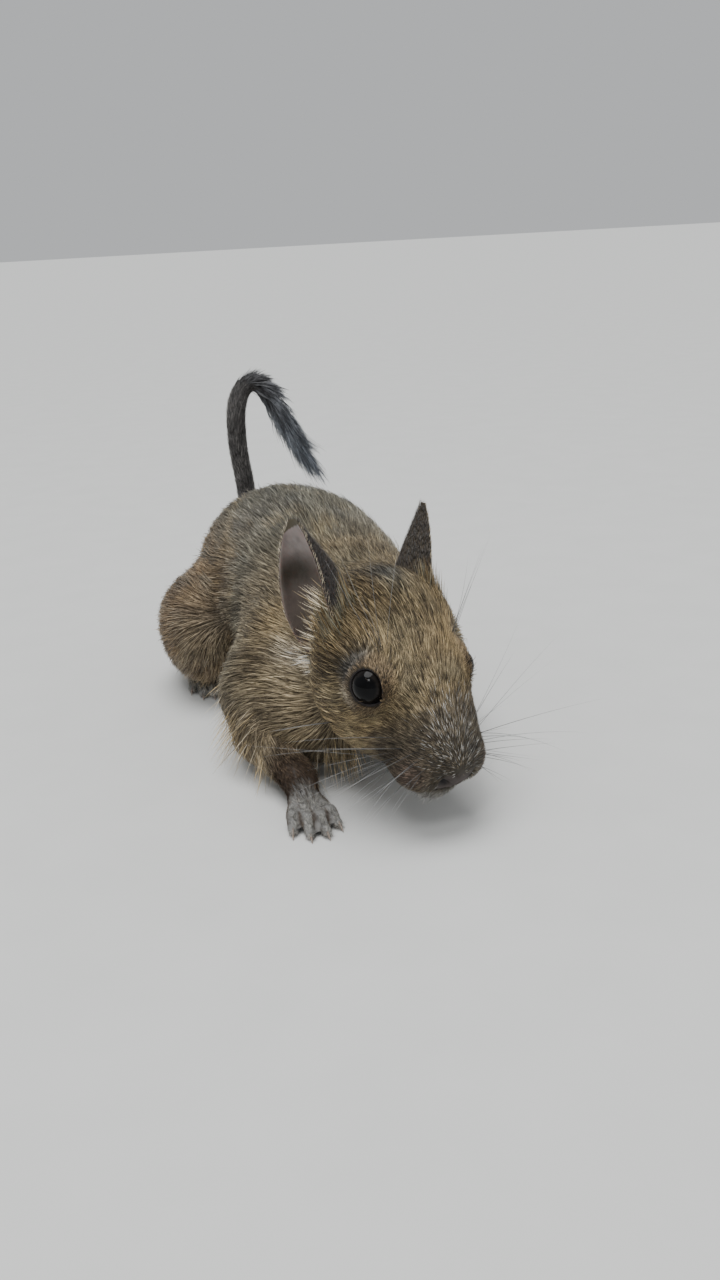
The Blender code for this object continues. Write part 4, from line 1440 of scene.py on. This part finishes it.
def hair_sizes(points, shares):
    """The length, the width and the depth of the coat at each point."""
    _, folded, to_eye = head_places(points)
    _, y, z = folded.T
    back = np.clip((y + 20) / 32, 0, 1)
    head_length = 1.5 + 4.4 * back**0.8 + 1.4 * step(-2, 8, y) * step(-2, -9, z)
    head_length *= 0.25 + 0.75 * step(EYE_RADIUS + 0.3, 8.5, to_eye)
    head_length += 2.2 * bell(np.linalg.norm(folded - EAR_NOTCH - (-2.5, -5.0, 4.0), axis=1) / 4)
    wrist_near = np.zeros(len(points))
    for side, _ in SIDES:
        apart = np.linalg.norm(points - FORELEGS[side][1], axis=1)
        wrist_near = np.maximum(wrist_near, step(16, 4, apart))
    kinds = {
        "torso": (8.0, 0.22, TORSO_DEPTH),
        "neck": (7.2, 0.21, NECK_DEPTH),
        "head": (head_length, 0.17 + 0.05 * back, 0.5 + 0.6 * back),
        "foreleg": (6.4 - 3.2 * wrist_near, 0.22 - 0.04 * wrist_near, LEG_DEPTH),
        "hindleg": (5.5, 0.22, LEG_DEPTH),
        "forefoot": (2.2, 0.16, 0.3),
        "hindfoot": (1.7, 0.16, 0.3),
        "tail": (2.4 + 1.6 * step(3, 6, tail_lie(points)[1]), 0.17, 0.6),
    }
    rows = [(shares[name], kinds[name.split("_")[0]]) for name in GROUPS]
    return (sum(share * kind[k] for share, kind in rows) for k in range(3))


def bare(points, normals, shares):
    """Where no hair grows: the eyes, the nose, the nostrils, the soles and inside the ears."""
    local, folded, to_eye = head_places(points)
    head = shares["head"] > 0.5
    lids = to_eye < EYE_RADIUS + 0.3
    in_cup = np.zeros(len(points), bool)
    for side, _ in SIDES:
        up, out, front = ear_axes(side)
        offset = folded - EAR_NOTCH
        leaf = np.interp(offset @ up / EAR_HEIGHT, EAR_STATIONS, EAR_LEAF)
        half = leaf * EAR_WIDTH * EAR_BREADTH[side] / 2
        ahead = offset @ out
        inside = (np.abs(offset @ front) < half - 0.4) & (ahead > -half * 0.9) & (ahead < 3.0)
        in_cup |= (local[:, 0] * side > 0) & inside & (offset @ up > 0.8)
    soles = (points[:, 2] < 0.5) & (normals[:, 2] < -0.3)
    return (head & ((nose_pad(folded) > 0.42) | lids | in_cup)) | soles


# How many of the tufts are guard hairs, and how many of those on the muzzle are frosted.
GUARD_SHARE = 0.06
FROST_SHARE = 0.2


def along_skin(vectors, normals):
    return vectors - normals * dots(vectors, normals)[:, None]


def patchy(points, small, fine, coarse, seed):
    """Random patches, finer on the head, the feet and the tail."""
    return noise(points, fine, seed) * small + noise(points, coarse, seed + 40) * (1 - small)


def bend_hair(points, normals, lie, length, lift, small):
    """The middle and the tip of each hair, gathered with its neighbours and kept off the floor."""
    gather = noise_slope(points, 1.5, 15) * small[:, None]
    gather = gather + noise_slope(points, 3.2, 16) * (1 - small)[:, None]
    gather = along_skin(gather, normals) * (length * (0.035 + 0.03 * small))[:, None]
    middle = points + lie * (length * 0.5)[:, None] + gather * 0.4
    tip = points + lie * length[:, None] + gather
    middle = middle + normals * (lift * 0.75 - field(middle, FORMS))[:, None]
    tip = tip + normals * (lift - field(tip, FORMS))[:, None]
    middle[:, 2] = np.maximum(middle[:, 2], 0.1)
    tip[:, 2] = np.maximum(tip[:, 2], 0.15)
    return middle, tip


def grow(points, places, draw, spread=1.0, stand=1.0):
    """Tufts at the points, settled on the skin: they lie, bend and gather as the coat does."""
    points = settle(points, FORMS, 2)
    normals = slope_of(points, FORMS)
    shares = group_shares(points)
    keep = ~bare(points, normals, shares)
    points, places, normals = points[keep], places[keep], normals[keep]
    shares = {key: value[keep] for key, value in shares.items()}
    count = len(points)
    head, tail = shares["head"], shares["tail"]
    small = head + both(shares, "forefoot") + both(shares, "hindfoot") + tail
    legs, feet = legs_and_feet(shares)

    swing = (0.14 + 0.1 * small) * patchy(points, small, 1.8, 3.6, 11) + 0.16 * noise(points, 9.0, 12)
    swing += draw.normal(0, 0.1, count)
    lie = coat_lie(points, normals, shares)
    lie = lie * np.cos(swing)[:, None] + np.cross(normals, lie) * np.sin(swing)[:, None]
    across = np.cross(normals, lie)

    # Guard hairs are longer, thinner and stand further off.
    guard = draw.random(count) < GUARD_SHARE
    length, width, depth = hair_sizes(points, shares)
    length = length * spread * draw.uniform(0.7, 1.15, count) * (1 + 0.12 * patchy(points, small, 2, 4, 13))
    length[guard] *= 1.3
    lift = stand * depth * draw.uniform(0.45, 1.05, count) * (1 + 0.2 * patchy(points, small, 1.5, 3, 14))
    lift[guard] *= 1.4
    width = width * draw.uniform(0.7, 1.3, count)
    width[guard] *= 0.65
    middle, tip = bend_hair(points, normals, lie, length, lift, small)

    roll = draw.normal(0, 0.5, count)
    side = across * np.cos(roll)[:, None] + normals * np.sin(roll)[:, None]
    rise = normals * np.cos(roll)[:, None] - across * np.sin(roll)[:, None]
    tone = 0.53 - 0.06 * head + (0.14 + 0.15 * head) * draw.normal(0, 1, count)
    tone += (0.14 + 0.08 * small) * patchy(points, small, 1.3, 2.6, 17) + 0.13 * noise(points, 5.5, 18)
    tone[guard] += draw.choice((-0.2, 0.3), guard.sum())
    colour = marking_and_shade(points, shares)
    x, y, _ = head_places(points)[1].T
    frosted = draw.random(count) < FROST_SHARE * head * step(-8.0, -15.0, y) * step(8.0, 3.0, x)
    colour[frosted] = PALE
    tufts = Tufts(
        root=points - normals * 0.15,
        middle=middle,
        tip=tip,
        side=side,
        rise=rise,
        width=width,
        tone=np.clip(tone + 0.12 * feet, 0, 1),
        colour=colour,
        place=places,
        head=head,
        limbs=legs + feet,
        tail=tail,
    )
    return tufts.take(head_places(tip)[2] > EYE_RADIUS + 0.35)


def density_of(unwrap, head, nape, body, legs, feet, tail):
    """Tufts to the square millimetre on each triangle of the skin, and none on the ears."""
    centres = unwrap.corners.mean(axis=1)
    shares = group_shares(centres)
    _, folded, _ = head_places(centres)
    back = step(-2, 12, folded[:, 1])
    face = head * (1 + 0.7 * step(4, -14, folded[:, 1])) * (1 - back) + nape * back
    on_legs, on_feet = legs_and_feet(shares)
    wanted = (
        face * shares["head"]
        + body * (shares["torso"] + shares["neck"])
        + legs * on_legs
        + feet * on_feet
        + tail * shares["tail"]
    )
    return wanted * (unwrap.outside < 0.5) * 1.0


def split_piece(prefix, tufts, limits, bent, material):
    """Parts a coat into pieces from the nose back, so that each stays small enough."""
    back = tufts.root[:, 1]
    edges = (-1e9, *limits, 1e9)
    for k, (low, high) in enumerate(zip(edges, edges[1:])):
        chosen = tufts.take((back >= low) & (back < high))
        if len(chosen):
            tuft_piece(f"{prefix}_{k + 1}", chosen, bent, material)


def make_coat(unwrap):
    """A fine close coat all over, and longer locks over the body and the back of the head."""
    draw = np.random.default_rng(20)
    fine = density_of(unwrap, head=11.0, nape=9.0, body=4.4, legs=6.0, feet=14.0, tail=9.0)
    tufts = grow(*scatter(unwrap.corners, unwrap.places, fine, draw), draw, spread=0.85, stand=0.85)
    head = tufts.head > 0.5
    limbs = ~head & (tufts.limbs > 0.5)
    tail = tufts.tail > 0.5
    split_piece("coat_head", tufts.take(head), (-84.0, -74.0, -66.0), False, COAT)
    split_piece("coat_limbs", tufts.take(limbs), (-10.0,), False, COAT)
    split_piece("coat_tail", tufts.take(tail), (), False, TAIL_HAIR)
    split_piece("coat_under", tufts.take(~head & ~limbs & ~tail), (-20.0, 12.0), False, COAT)

    outer = density_of(unwrap, head=0.0, nape=2.6, body=3.3, legs=1.6, feet=0.0, tail=0.0)
    tufts = grow(*scatter(unwrap.corners, unwrap.places, outer, draw), draw, spread=1.05, stand=1.05)
    split_piece("coat_outer", tufts, (-46.0, -26.0, -6.0, 12.0, 28.0), True, COAT)


def ear_fuzz(unwrap, side, density, draw):
    """Very short dark hair on the back of one ear."""
    points, places = scatter(unwrap.corners, unwrap.places, density * (unwrap.outside > 0.5), draw)
    up = ear_axes(side)[0]
    flip = np.array((side, 1, 1))
    rise, turned, _ = ear_places(points)
    mine = (HEAD.local(points)[:, 0] * side > 0) & (rise > 0.04) & (rise < 0.99) & (np.abs(turned) < 1)
    rise, turned, places = rise[mine], turned[mine], places[mine]
    count = len(rise)
    wall, outward = np.array([ear_wall(side, *at) for at in zip(rise, turned)]).transpose(1, 0, 2)
    wide = 0.2 + EAR_THICKNESS * (1 - np.abs(turned) ** 8) * (1 - 0.4 * rise)
    root = wall + outward * wide[:, None]
    lie = units(up + outward * draw.uniform(0.05, 0.22, count)[:, None] + draw.normal(0, 0.08, (count, 3)))
    length = draw.uniform(0.8, 1.6, count)
    across = np.cross(outward, lie)
    tint = np.where(draw.random(count)[:, None] < 0.25, BROWN, SMOKE)

    def turned_out(vectors):
        return (vectors * flip) @ HEAD.rotation.T

    return Tufts(
        root=HEAD.points(root * flip),
        middle=HEAD.points((root + lie * (length * 0.5)[:, None]) * flip),
        tip=HEAD.points((root + lie * length[:, None]) * flip),
        side=turned_out(across),
        rise=turned_out(outward),
        width=draw.uniform(0.05, 0.09, count),
        tone=np.clip(draw.normal(0.42, 0.15, count), 0, 1),
        colour=tint,
        place=places,
    )


def make_ear_fuzz(unwrap):
    draw = np.random.default_rng(27)
    density = 14.0 * 1.0
    for side, label in SIDES:
        fuzz = ear_fuzz(unwrap, side, density, draw)
        tuft_piece(f"ear_fuzz_{label}", fuzz, False, FINE_HAIR)


# Single hairs.


def strand_piece(name, unwrap, hairs, material, sides=3):
    """Thin tapered round hairs: each is its line of points, its width, its tone and its tint."""
    lines, widths, tones, tints = (np.array(column, float) for column in zip(*hairs))
    count, rows, _ = lines.shape
    headings = np.gradient(lines, axis=1)
    headings /= np.linalg.norm(headings, axis=2, keepdims=True)
    first = np.cross(headings, (0.31, 0.17, 0.93))
    first /= np.linalg.norm(first, axis=2, keepdims=True)
    second = np.cross(headings, first)
    taper = 1 - np.linspace(0, 1, rows) ** 1.5 * 0.9
    rings = []
    for k in range(sides):
        angle = math.tau * k / sides
        spread = first * math.cos(angle) + second * math.sin(angle)
        rings.append(lines + spread * (widths[:, None, None] / 2) * taper[None, :, None])
    points = np.stack(rings, 2).reshape(-1, 3)
    faces = []
    for r in range(rows - 1):
        for k in range(sides):
            a, b = r * sides + k, r * sides + (k + 1) % sides
            faces += [(a, b, b + sides), (a, b + sides, a + sides)]
    top = (rows - 1) * sides
    for k in range(1, sides - 1):
        faces += [(0, k + 1, k), (top, top + k, top + k + 1)]
    each = rows * sides
    triangles = (np.arange(count)[:, None, None] * each + np.array(faces)).reshape(-1, 3)
    shares = np.repeat(np.linspace(0, 1, rows), sides)
    columns = (np.tile(shares, count), np.repeat(tones, each), np.repeat(tints, each, axis=0))
    root = np.clip(unwrap.find(lines[:, 0]), PATCH, 1 - PATCH)
    patch = np.stack([np.tile(np.arange(sides), rows) / (sides - 1), shares], 1)
    places = root[:, None, :] + (patch[None] * 2 - 1) * PATCH
    hair_piece(name, points, triangles, columns, places, material)


def bowed_line(start, heading, droop, length, rows=5):
    """A line that leaves along its heading and bends the way of its droop."""
    shares = np.linspace(0, 1, rows)[:, None]
    return start + unit(heading) * length * shares + np.asarray(droop) * length * shares**2


def fewer(count):
    return count


def make_whiskers(unwrap):
    """Rows of whiskers on the pads of the muzzle, over the eyes and on the cheeks."""
    draw = np.random.default_rng(31)
    hairs = []

    def add(start, heading, droop, length, width):
        line = bowed_line(start, HEAD.turned(heading), droop, length, 11)
        line[:, 2] = np.maximum(line[:, 2], 0.5)
        hairs.append((line, width, 0.5, SMOKE))

    for side, _ in SIDES:
        for row in range(5):
            rising = 0.30 - 0.22 * row if side > 0 else -0.05 - 0.12 * row
            for k in range(5 - row // 3):
                across = 6.6 + 0.7 * row - 0.3 * k
                local = np.array((across, -17.6 + 2.0 * k + 0.5 * row, -7.2 - 1.5 * row + 0.25 * k))
                start = on_head((local + draw.normal(0, 0.25, 3)) * (side, 1, 1))
                length = (16 + 5.0 * k) * draw.uniform(0.75, 1.15) * (1 - 0.06 * row) * (0.85 + 0.15 * side)
                back = -0.40 + 0.2 * k + draw.normal(0, 0.1)
                heading = (side * (0.95 - 0.08 * k), back, rising + draw.normal(0, 0.1))
                droop = np.array((0, 0.12, -0.16)) + draw.normal(0, 0.06, 3)
                add(start, heading, droop, length, draw.uniform(0.07, 0.115))
        brow = on_head((EYE_PLACES[side] + (-1.6, 1.0, 6.4)) * (side, 1, 1))
        for k in range(5):
            heading = (side * (0.15 + 0.12 * k), 0.15 + 0.12 * k, 0.95)
            add(brow + draw.normal(0, 0.4, 3), heading, draw.normal(0, 0.06, 3), draw.uniform(13, 25), 0.1)
        cheek = on_head(np.array((side * 11.0, 3.0, -11.0)))
        for _ in range(2):
            start = cheek + draw.normal(0, 0.5, 3)
            add(start, (side * 0.8, 0.5, -0.35), (0, 0.1, -0.1), draw.uniform(9, 14), 0.1)
    strand_piece("whiskers", unwrap, hairs, WHISKER, 4)


def make_chin_hair(unwrap):
    """Short stiff hairs under the lip and along the lower jaw."""
    draw = np.random.default_rng(33)
    lines = []
    for _ in range(150):
        start = on_head((draw.uniform(-5.5, 5.5), draw.uniform(-18.0, -8.0), -17.0))
        heading = HEAD.turned((draw.normal(0, 0.25), 0.2 + draw.normal(0, 0.25), -0.8))
        lines.append(bowed_line(start, heading, (0, 0.3, 0.1), draw.uniform(1.2, 2.6), 4))
    tones = draw.uniform(0.25, 0.85, len(lines))
    hairs = [(line, 0.12, tone, WHITE) for line, tone in zip(lines, tones)]
    strand_piece("chin_hair", unwrap, hairs, FINE_HAIR)


# The spots of the fringe: each one's middle, its size, the way that its hairs hang and their number.
FRINGE_SPOTS = (
    ((-26, -44, 12), (7, 8, 6), (-0.35, 0.1, -0.9), 110),
    ((-22, -55, 9), (4, 4, 3), (-0.1, -0.25, -0.95), 80),
    ((-10, -60, 9), (6, 4, 5), (0.0, -0.1, -1.0), 90),
    ((6, -52, 12), (8, 6, 5), (0.1, 0.1, -1.0), 50),
    ((22, -34, 10), (5, 8, 6), (0.35, 0.2, -0.9), 90),
    ((-26, -22, 12), (5, 10, 6), (-0.5, 0.4, -0.8), 90),
    ((26, -12, 12), (5, 10, 6), (0.5, 0.4, -0.8), 90),
    ((0, 44, 14), (14, 4, 6), (0.0, 0.6, -0.8), 80),
)


def make_fringe(unwrap):
    """Long loose hairs that hang from the low chest, the elbows and the belly's edge."""
    draw = np.random.default_rng(34)
    hairs = []
    for centre, size, heading, number in FRINGE_SPOTS:
        starts = np.array(centre) + draw.normal(0, 0.5, (number, 3)) * size
        starts = settle(starts, FORMS, 6)
        for start, normal in zip(starts, slope_of(starts, FORMS)):
            way = unit(heading) + normal * draw.uniform(0.15, 0.5) + draw.normal(0, 0.16, 3)
            length = min(draw.uniform(4.5, 9.5), max((start[2] - 0.8) * 1.15, 2.0))
            line = bowed_line(start, way, (0, 0.05, -0.12), length)
            line[:, 2] = np.maximum(line[:, 2], 0.2)
            width, tone = draw.uniform(0.1, 0.17), draw.uniform(0.35, 0.95)
            hairs.append((line, width, tone, CREAM if draw.random() < 0.4 else STRAW))
    strand_piece("fringe_hair", unwrap, hairs, FINE_HAIR)


def make_ear_hair(unwrap):
    """Long pale hairs across the cup from its front edge, and a short pale fringe along its rim."""
    draw = np.random.default_rng(35)
    hairs = []

    def add(side, start, heading, droop, length, width, tint):
        flip = (side, 1, 1)
        heading, droop = HEAD.turned(heading * flip), HEAD.turned(droop * flip)
        line = bowed_line(HEAD.point(start * flip), heading, droop, length)
        hairs.append((line, width, draw.uniform(0.35, 1), tint))

    for side, _ in SIDES:
        up, out, front = ear_axes(side)
        for _ in range(170):
            rise = draw.uniform(0.05, 0.44)
            place, outward = ear_wall(side, rise, draw.uniform(0.7, 1.0))
            heading = -front * 0.95 + up * (1.1 * rise + draw.uniform(0.0, 0.3))
            heading = heading + out * draw.uniform(0.3, 0.75)
            length = draw.uniform(6.0, 10.5) * (1 - 0.3 * rise)
            width = draw.uniform(0.14, 0.27)
            tint = STRAW if draw.random() < 0.3 else CREAM
            add(side, place, heading, -out * 0.15, length, width, tint)
        for _ in range(fewer(420)):
            rise = draw.uniform(0.08, 0.98)
            turned = draw.choice((-1, 1))
            place, outward = ear_wall(side, rise, turned * draw.uniform(0.95, 1.0))
            heading = up * 0.9 + outward * 0.25 + front * turned * 0.3
            add(side, place + outward * 0.25, heading, out * 0, draw.uniform(0.5, 1.2), 0.08, CREAM)
    strand_piece("ear_hair", unwrap, hairs, FINE_HAIR)


# The ruff before each ear: its line in the head's frame, and how many hairs it has by the side.
RUFF_LINE = (np.array((13.5, 9.5, 2.0)), np.array((10.5, 14.0, 10.5)))
RUFF_HAIRS = {-1: 600, 1: 350}


def make_ear_ruff(unwrap):
    """Locks that rise from the head in front of each ear, and the pale tuft below it."""
    draw = np.random.default_rng(36)
    hairs = []
    for side, _ in SIDES:
        flip = (side, 1, 1)
        for _ in range(fewer(300)):
            root = mix(TUFT_LINE[:1], TUFT_LINE[1:], draw.random(1))[0] + draw.normal(0, 0.7, 3)
            start = settle(HEAD.points([root * flip]), FORMS)[0]
            way = slope_of(start[None], FORMS)[0] * 0.45 + (0, 0.85, -0.15) + draw.normal(0, 0.14, 3)
            line = bowed_line(start, way, (0, 0.1, -0.15), draw.uniform(2.6, 4.6))
            width, tone = draw.uniform(0.13, 0.24), draw.uniform(0.55, 0.95)
            hairs.append((line, width, tone, CREAM if draw.random() < 0.6 else WHITE))
        for _ in range(fewer(RUFF_HAIRS[side])):
            share = draw.random()
            local = RUFF_LINE[0] * (1 - share) + RUFF_LINE[1] * share
            start = on_head((local + draw.normal(0, 1.1, 3)) * flip)
            way = np.array((0.2, 0.8, 0.5 + 0.2 * share)) + draw.normal(0, 0.12, 3)
            line = bowed_line(start, HEAD.turned(way * flip), (0, 0, 0.08), draw.uniform(3.6, 7.2))
            width, tone = draw.uniform(0.12, 0.22), draw.uniform(0.2, 0.7)
            hairs.append((line, width, tone, GOLD if draw.random() < 0.4 else OLIVE))
    strand_piece("ear_ruff", unwrap, hairs, FINE_HAIR)


def make_brush(unwrap):
    """The dark spiky hair of the brush in loose locks, longest at the end of the tail."""
    draw = np.random.default_rng(37)
    hairs = []
    for _ in range(fewer(300)):
        share = draw.random() ** 0.8
        along = BRUSH_START - 0.6 + 4.2 * share
        place = tail_point(min(along, 9.97))
        heading = unit(tail_point(min(along + 0.1, 10)) - tail_point(min(along, 9.9)))
        side = unit(np.cross(heading, (0, 1.0, 0)))
        angle = draw.uniform(0, math.tau)
        outward = side * math.cos(angle) + np.cross(heading, side) * math.sin(angle)
        radius = max(tail_radius(min(along, 9.97)) - TAIL_DEPTH, 0.5)
        spread = (0.10 + 0.36 * math.sin(math.pi * min(share, 1))) * draw.uniform(0.5, 1.25)
        length = (4.0 + 8.5 * share**0.8) * draw.uniform(0.75, 1.1)
        lean = draw.normal(0, 0.05, 3)
        tone = draw.normal(0.62, 0.18)
        tint = mix([SMOKE], [INK], np.array([0.2 + 0.8 * share]))[0]
        for _ in range(12):
            start = place + outward * radius * 0.7 + draw.normal(0, 0.3, 3)
            way = heading + outward * spread * 1.3 + draw.normal(0, 0.05, 3)
            bend = -outward * spread * 0.5 + lean + draw.normal(0, 0.02, 3)
            line = bowed_line(start, way, bend, length * draw.uniform(0.75, 1.1))
            width = draw.uniform(0.15, 0.28)
            hairs.append((line, width, min(max(tone + draw.normal(0, 0.12), 0), 1), tint))
    strand_piece("tail_brush_hair", unwrap, hairs, TAIL_HAIR)


# The eyes, the claws and the finished skin.


def make_eye(side, label):
    """One eyeball with a slightly domed front, and how far each point is from its middle."""
    centre, _, _, axis = eye_frame(side)
    eye = ball_solid(f"eyeball_{label}", centre, EYE_RADIUS, 5)
    points = read_points(eye.data)
    facing = (points - centre) @ axis / EYE_RADIUS
    points += np.outer(0.35 * step(0.55, 1.0, facing), axis)
    write_points(eye.data, points)
    flat_attribute(eye.data, "along", "FLOAT", np.arccos(np.clip(facing, -1, 1)) / math.pi * 2)
    place_piece(eye, "eye", EYE)
    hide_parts(f"eye_{label}")


# Each claw is a tube of so many rows of so many points.
CLAW_ROWS = 9
CLAW_SIDES = 10


def claw_rows(frame, root, heading, length, radius, claw):
    """The rows of one curved claw, from the toe's end down to the floor."""
    direction = np.array((math.sin(heading), -math.cos(heading), 0))
    across = np.array((direction[1], -direction[0], 0))
    start = np.array(root) + direction * length * 0.8
    rows = []
    for share in np.linspace(0, 1, CLAW_ROWS):
        size = 0.5 * (1 - share) ** 0.6 + 0.03
        place = start + direction * claw * share * 1.3
        place[2] = radius * 1.25 - (radius * 1.25 - 0.12) * share**1.8
        row = []
        for k in range(CLAW_SIDES):
            angle = math.tau * k / CLAW_SIDES
            lift = math.sin(angle) * size * (1.2 if math.sin(angle) > 0 else 0.9)
            row.append(place + across * size * 0.8 * math.cos(angle) + np.array((0, 0, lift)))
        rows.append(frame.points(row))
    return rows


def make_claws():
    kinds = (
        (forefoot_frame, FINGERS, FINGER_LENGTH, FINGER_HEIGHT, FINGER_RADIUS, 2.4),
        (hindfoot_frame, HIND_TOES, HIND_TOE_LENGTH, HIND_TOE_HEIGHT, HIND_TOE_RADIUS, 2.5),
    )
    mesh = bmesh.new()
    for side, _ in SIDES:
        for frame_of, toes, toe_length, height, radius, claw in kinds:
            for toe in foot_toes(side, toes, toe_length, height):
                add_tube(mesh, claw_rows(frame_of(side), *toe, radius, claw))
    claws = closed_solid("claws", mesh)
    each = np.repeat(np.linspace(0, 1, CLAW_ROWS), CLAW_SIDES)
    flat_attribute(claws.data, "along", "FLOAT", np.tile(each, len(claws.data.vertices) // len(each)))
    place_piece(claws, "paw_skin", CLAW)


def dress_skin(skin):
    """Gives the skin its colours, materials and place."""
    mesh = skin.data
    points = read_points(mesh)
    normals = read(mesh.vertices, "normal", 3).astype(float)
    colour, ear = skin_colour(points, normals, group_shares(points), field(points, FORMS))
    flat_attribute(mesh, "marking_and_shade", "FLOAT_COLOR", with_alpha(colour))
    first = read(mesh.loops, "vertex_index", 1, np.int32)[read(mesh.polygons, "loop_start", 1, np.int32)]
    place_piece(skin, "paw_skin", SKIN, EAR_SKIN)
    mesh.polygons.foreach_set("material_index", (ear[first.ravel()] > 0.5).astype(np.int32))
    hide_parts(*(name for name in frame["nodes"] if not name.startswith("eye")))
    print("skin", len(read_triangles(mesh)))


# The floor, the light and the camera.


def make_stage():
    """A plain pale floor that reaches past every view."""
    mesh = bmesh.new()
    bmesh.ops.create_circle(mesh, cap_ends=True, segments=64, radius=60.0)
    floor = solid_from("floor", mesh)
    shader = Shader("floor_paint", 0.8)
    shades = ((0.3, (0.69, 0.695, 0.68)), (0.7, (0.715, 0.72, 0.705)))
    shader.paint(shader.ramp(shader.noise(60.0, 3.0), shades))
    floor.data.materials.append(shader.material)


# The light: a pale sky, a wide soft sun, and a near lamp, with places in metres.
SKY_STRENGTH = 0.55
SUN_PLACE = (-0.12, 0.1, 1.3)
SUN_STRENGTH = 2.3
SUN_WIDTH = 40.0
KEY_PLACE = (-0.22, -0.42, 0.6)
KEY_STRENGTH = 1.1
KEY_SIZE = 0.16


def add_lamp(name, kind, place, target, energy, size):
    """A lamp that shines from its place towards the target."""
    data = bpy.data.lights.new(name, kind)
    data.energy = energy
    if kind == "SUN":
        data.angle = size
    else:
        data.size = size
    lamp = add_object(name, data)
    lamp.location = place
    lamp.rotation_euler = (Vector(target) - Vector(place)).to_track_quat("-Z", "Y").to_euler()


def light_stage():
    world = bpy.data.worlds.new("Studio")
    bpy.context.scene.world = world
    world.use_nodes = True
    background = world.node_tree.nodes["Background"]
    background.inputs["Color"].default_value = (0.96, 0.98, 1.0, 1.0)
    background.inputs["Strength"].default_value = SKY_STRENGTH
    add_lamp("sun", "SUN", SUN_PLACE, (0, 0, 0), SUN_STRENGTH, math.radians(SUN_WIDTH))
    add_lamp("key", "AREA", KEY_PLACE, (0, 0, 0.03), KEY_STRENGTH, KEY_SIZE)


# The camera: its place in millimetres, its heading, how far it looks down and its tilt, in degrees.
CAMERA_PLACE = np.array((-82.4, -255.0, 110.0))
CAMERA_HEADING = 20.0
CAMERA_PITCH = 19.0
CAMERA_ROLL = -3.2
CAMERA_FOCUS = 1160.0
IMAGE_HEIGHT = 1280.0


def add_camera():
    heading, pitch, roll = (math.radians(a) for a in (CAMERA_HEADING, CAMERA_PITCH, CAMERA_ROLL))
    level = Vector((math.sin(heading), math.cos(heading), 0))
    right = Vector((math.cos(heading), -math.sin(heading), 0))
    forward = level * math.cos(pitch) - Vector((0, 0, 1)) * math.sin(pitch)
    up = level * math.sin(pitch) + Vector((0, 0, 1)) * math.cos(pitch)
    across = right * math.cos(roll) + up * math.sin(roll)
    upright = up * math.cos(roll) - right * math.sin(roll)
    data = bpy.data.cameras.new("camera")
    data.sensor_width = 36.0
    data.lens = CAMERA_FOCUS / IMAGE_HEIGHT * data.sensor_width
    data.clip_start = 0.01
    camera = add_object("camera", data)
    matrix = Matrix((across, upright, -forward)).transposed().to_4x4()
    matrix.translation = Vector(CAMERA_PLACE * MM)
    camera.matrix_world = matrix
    bpy.context.scene.camera = camera


def main():
    add_camera()
    light_stage()
    make_stage()
    skin = make_skin()
    unwrap = Unwrap(skin)
    make_coat(unwrap)
    make_ear_fuzz(unwrap)
    dress_skin(skin)
    for side, label in SIDES:
        make_eye(side, label)
    make_claws()
    for make in (make_whiskers, make_chin_hair, make_fringe, make_ear_hair, make_ear_ruff, make_brush):
        make(unwrap)


main()
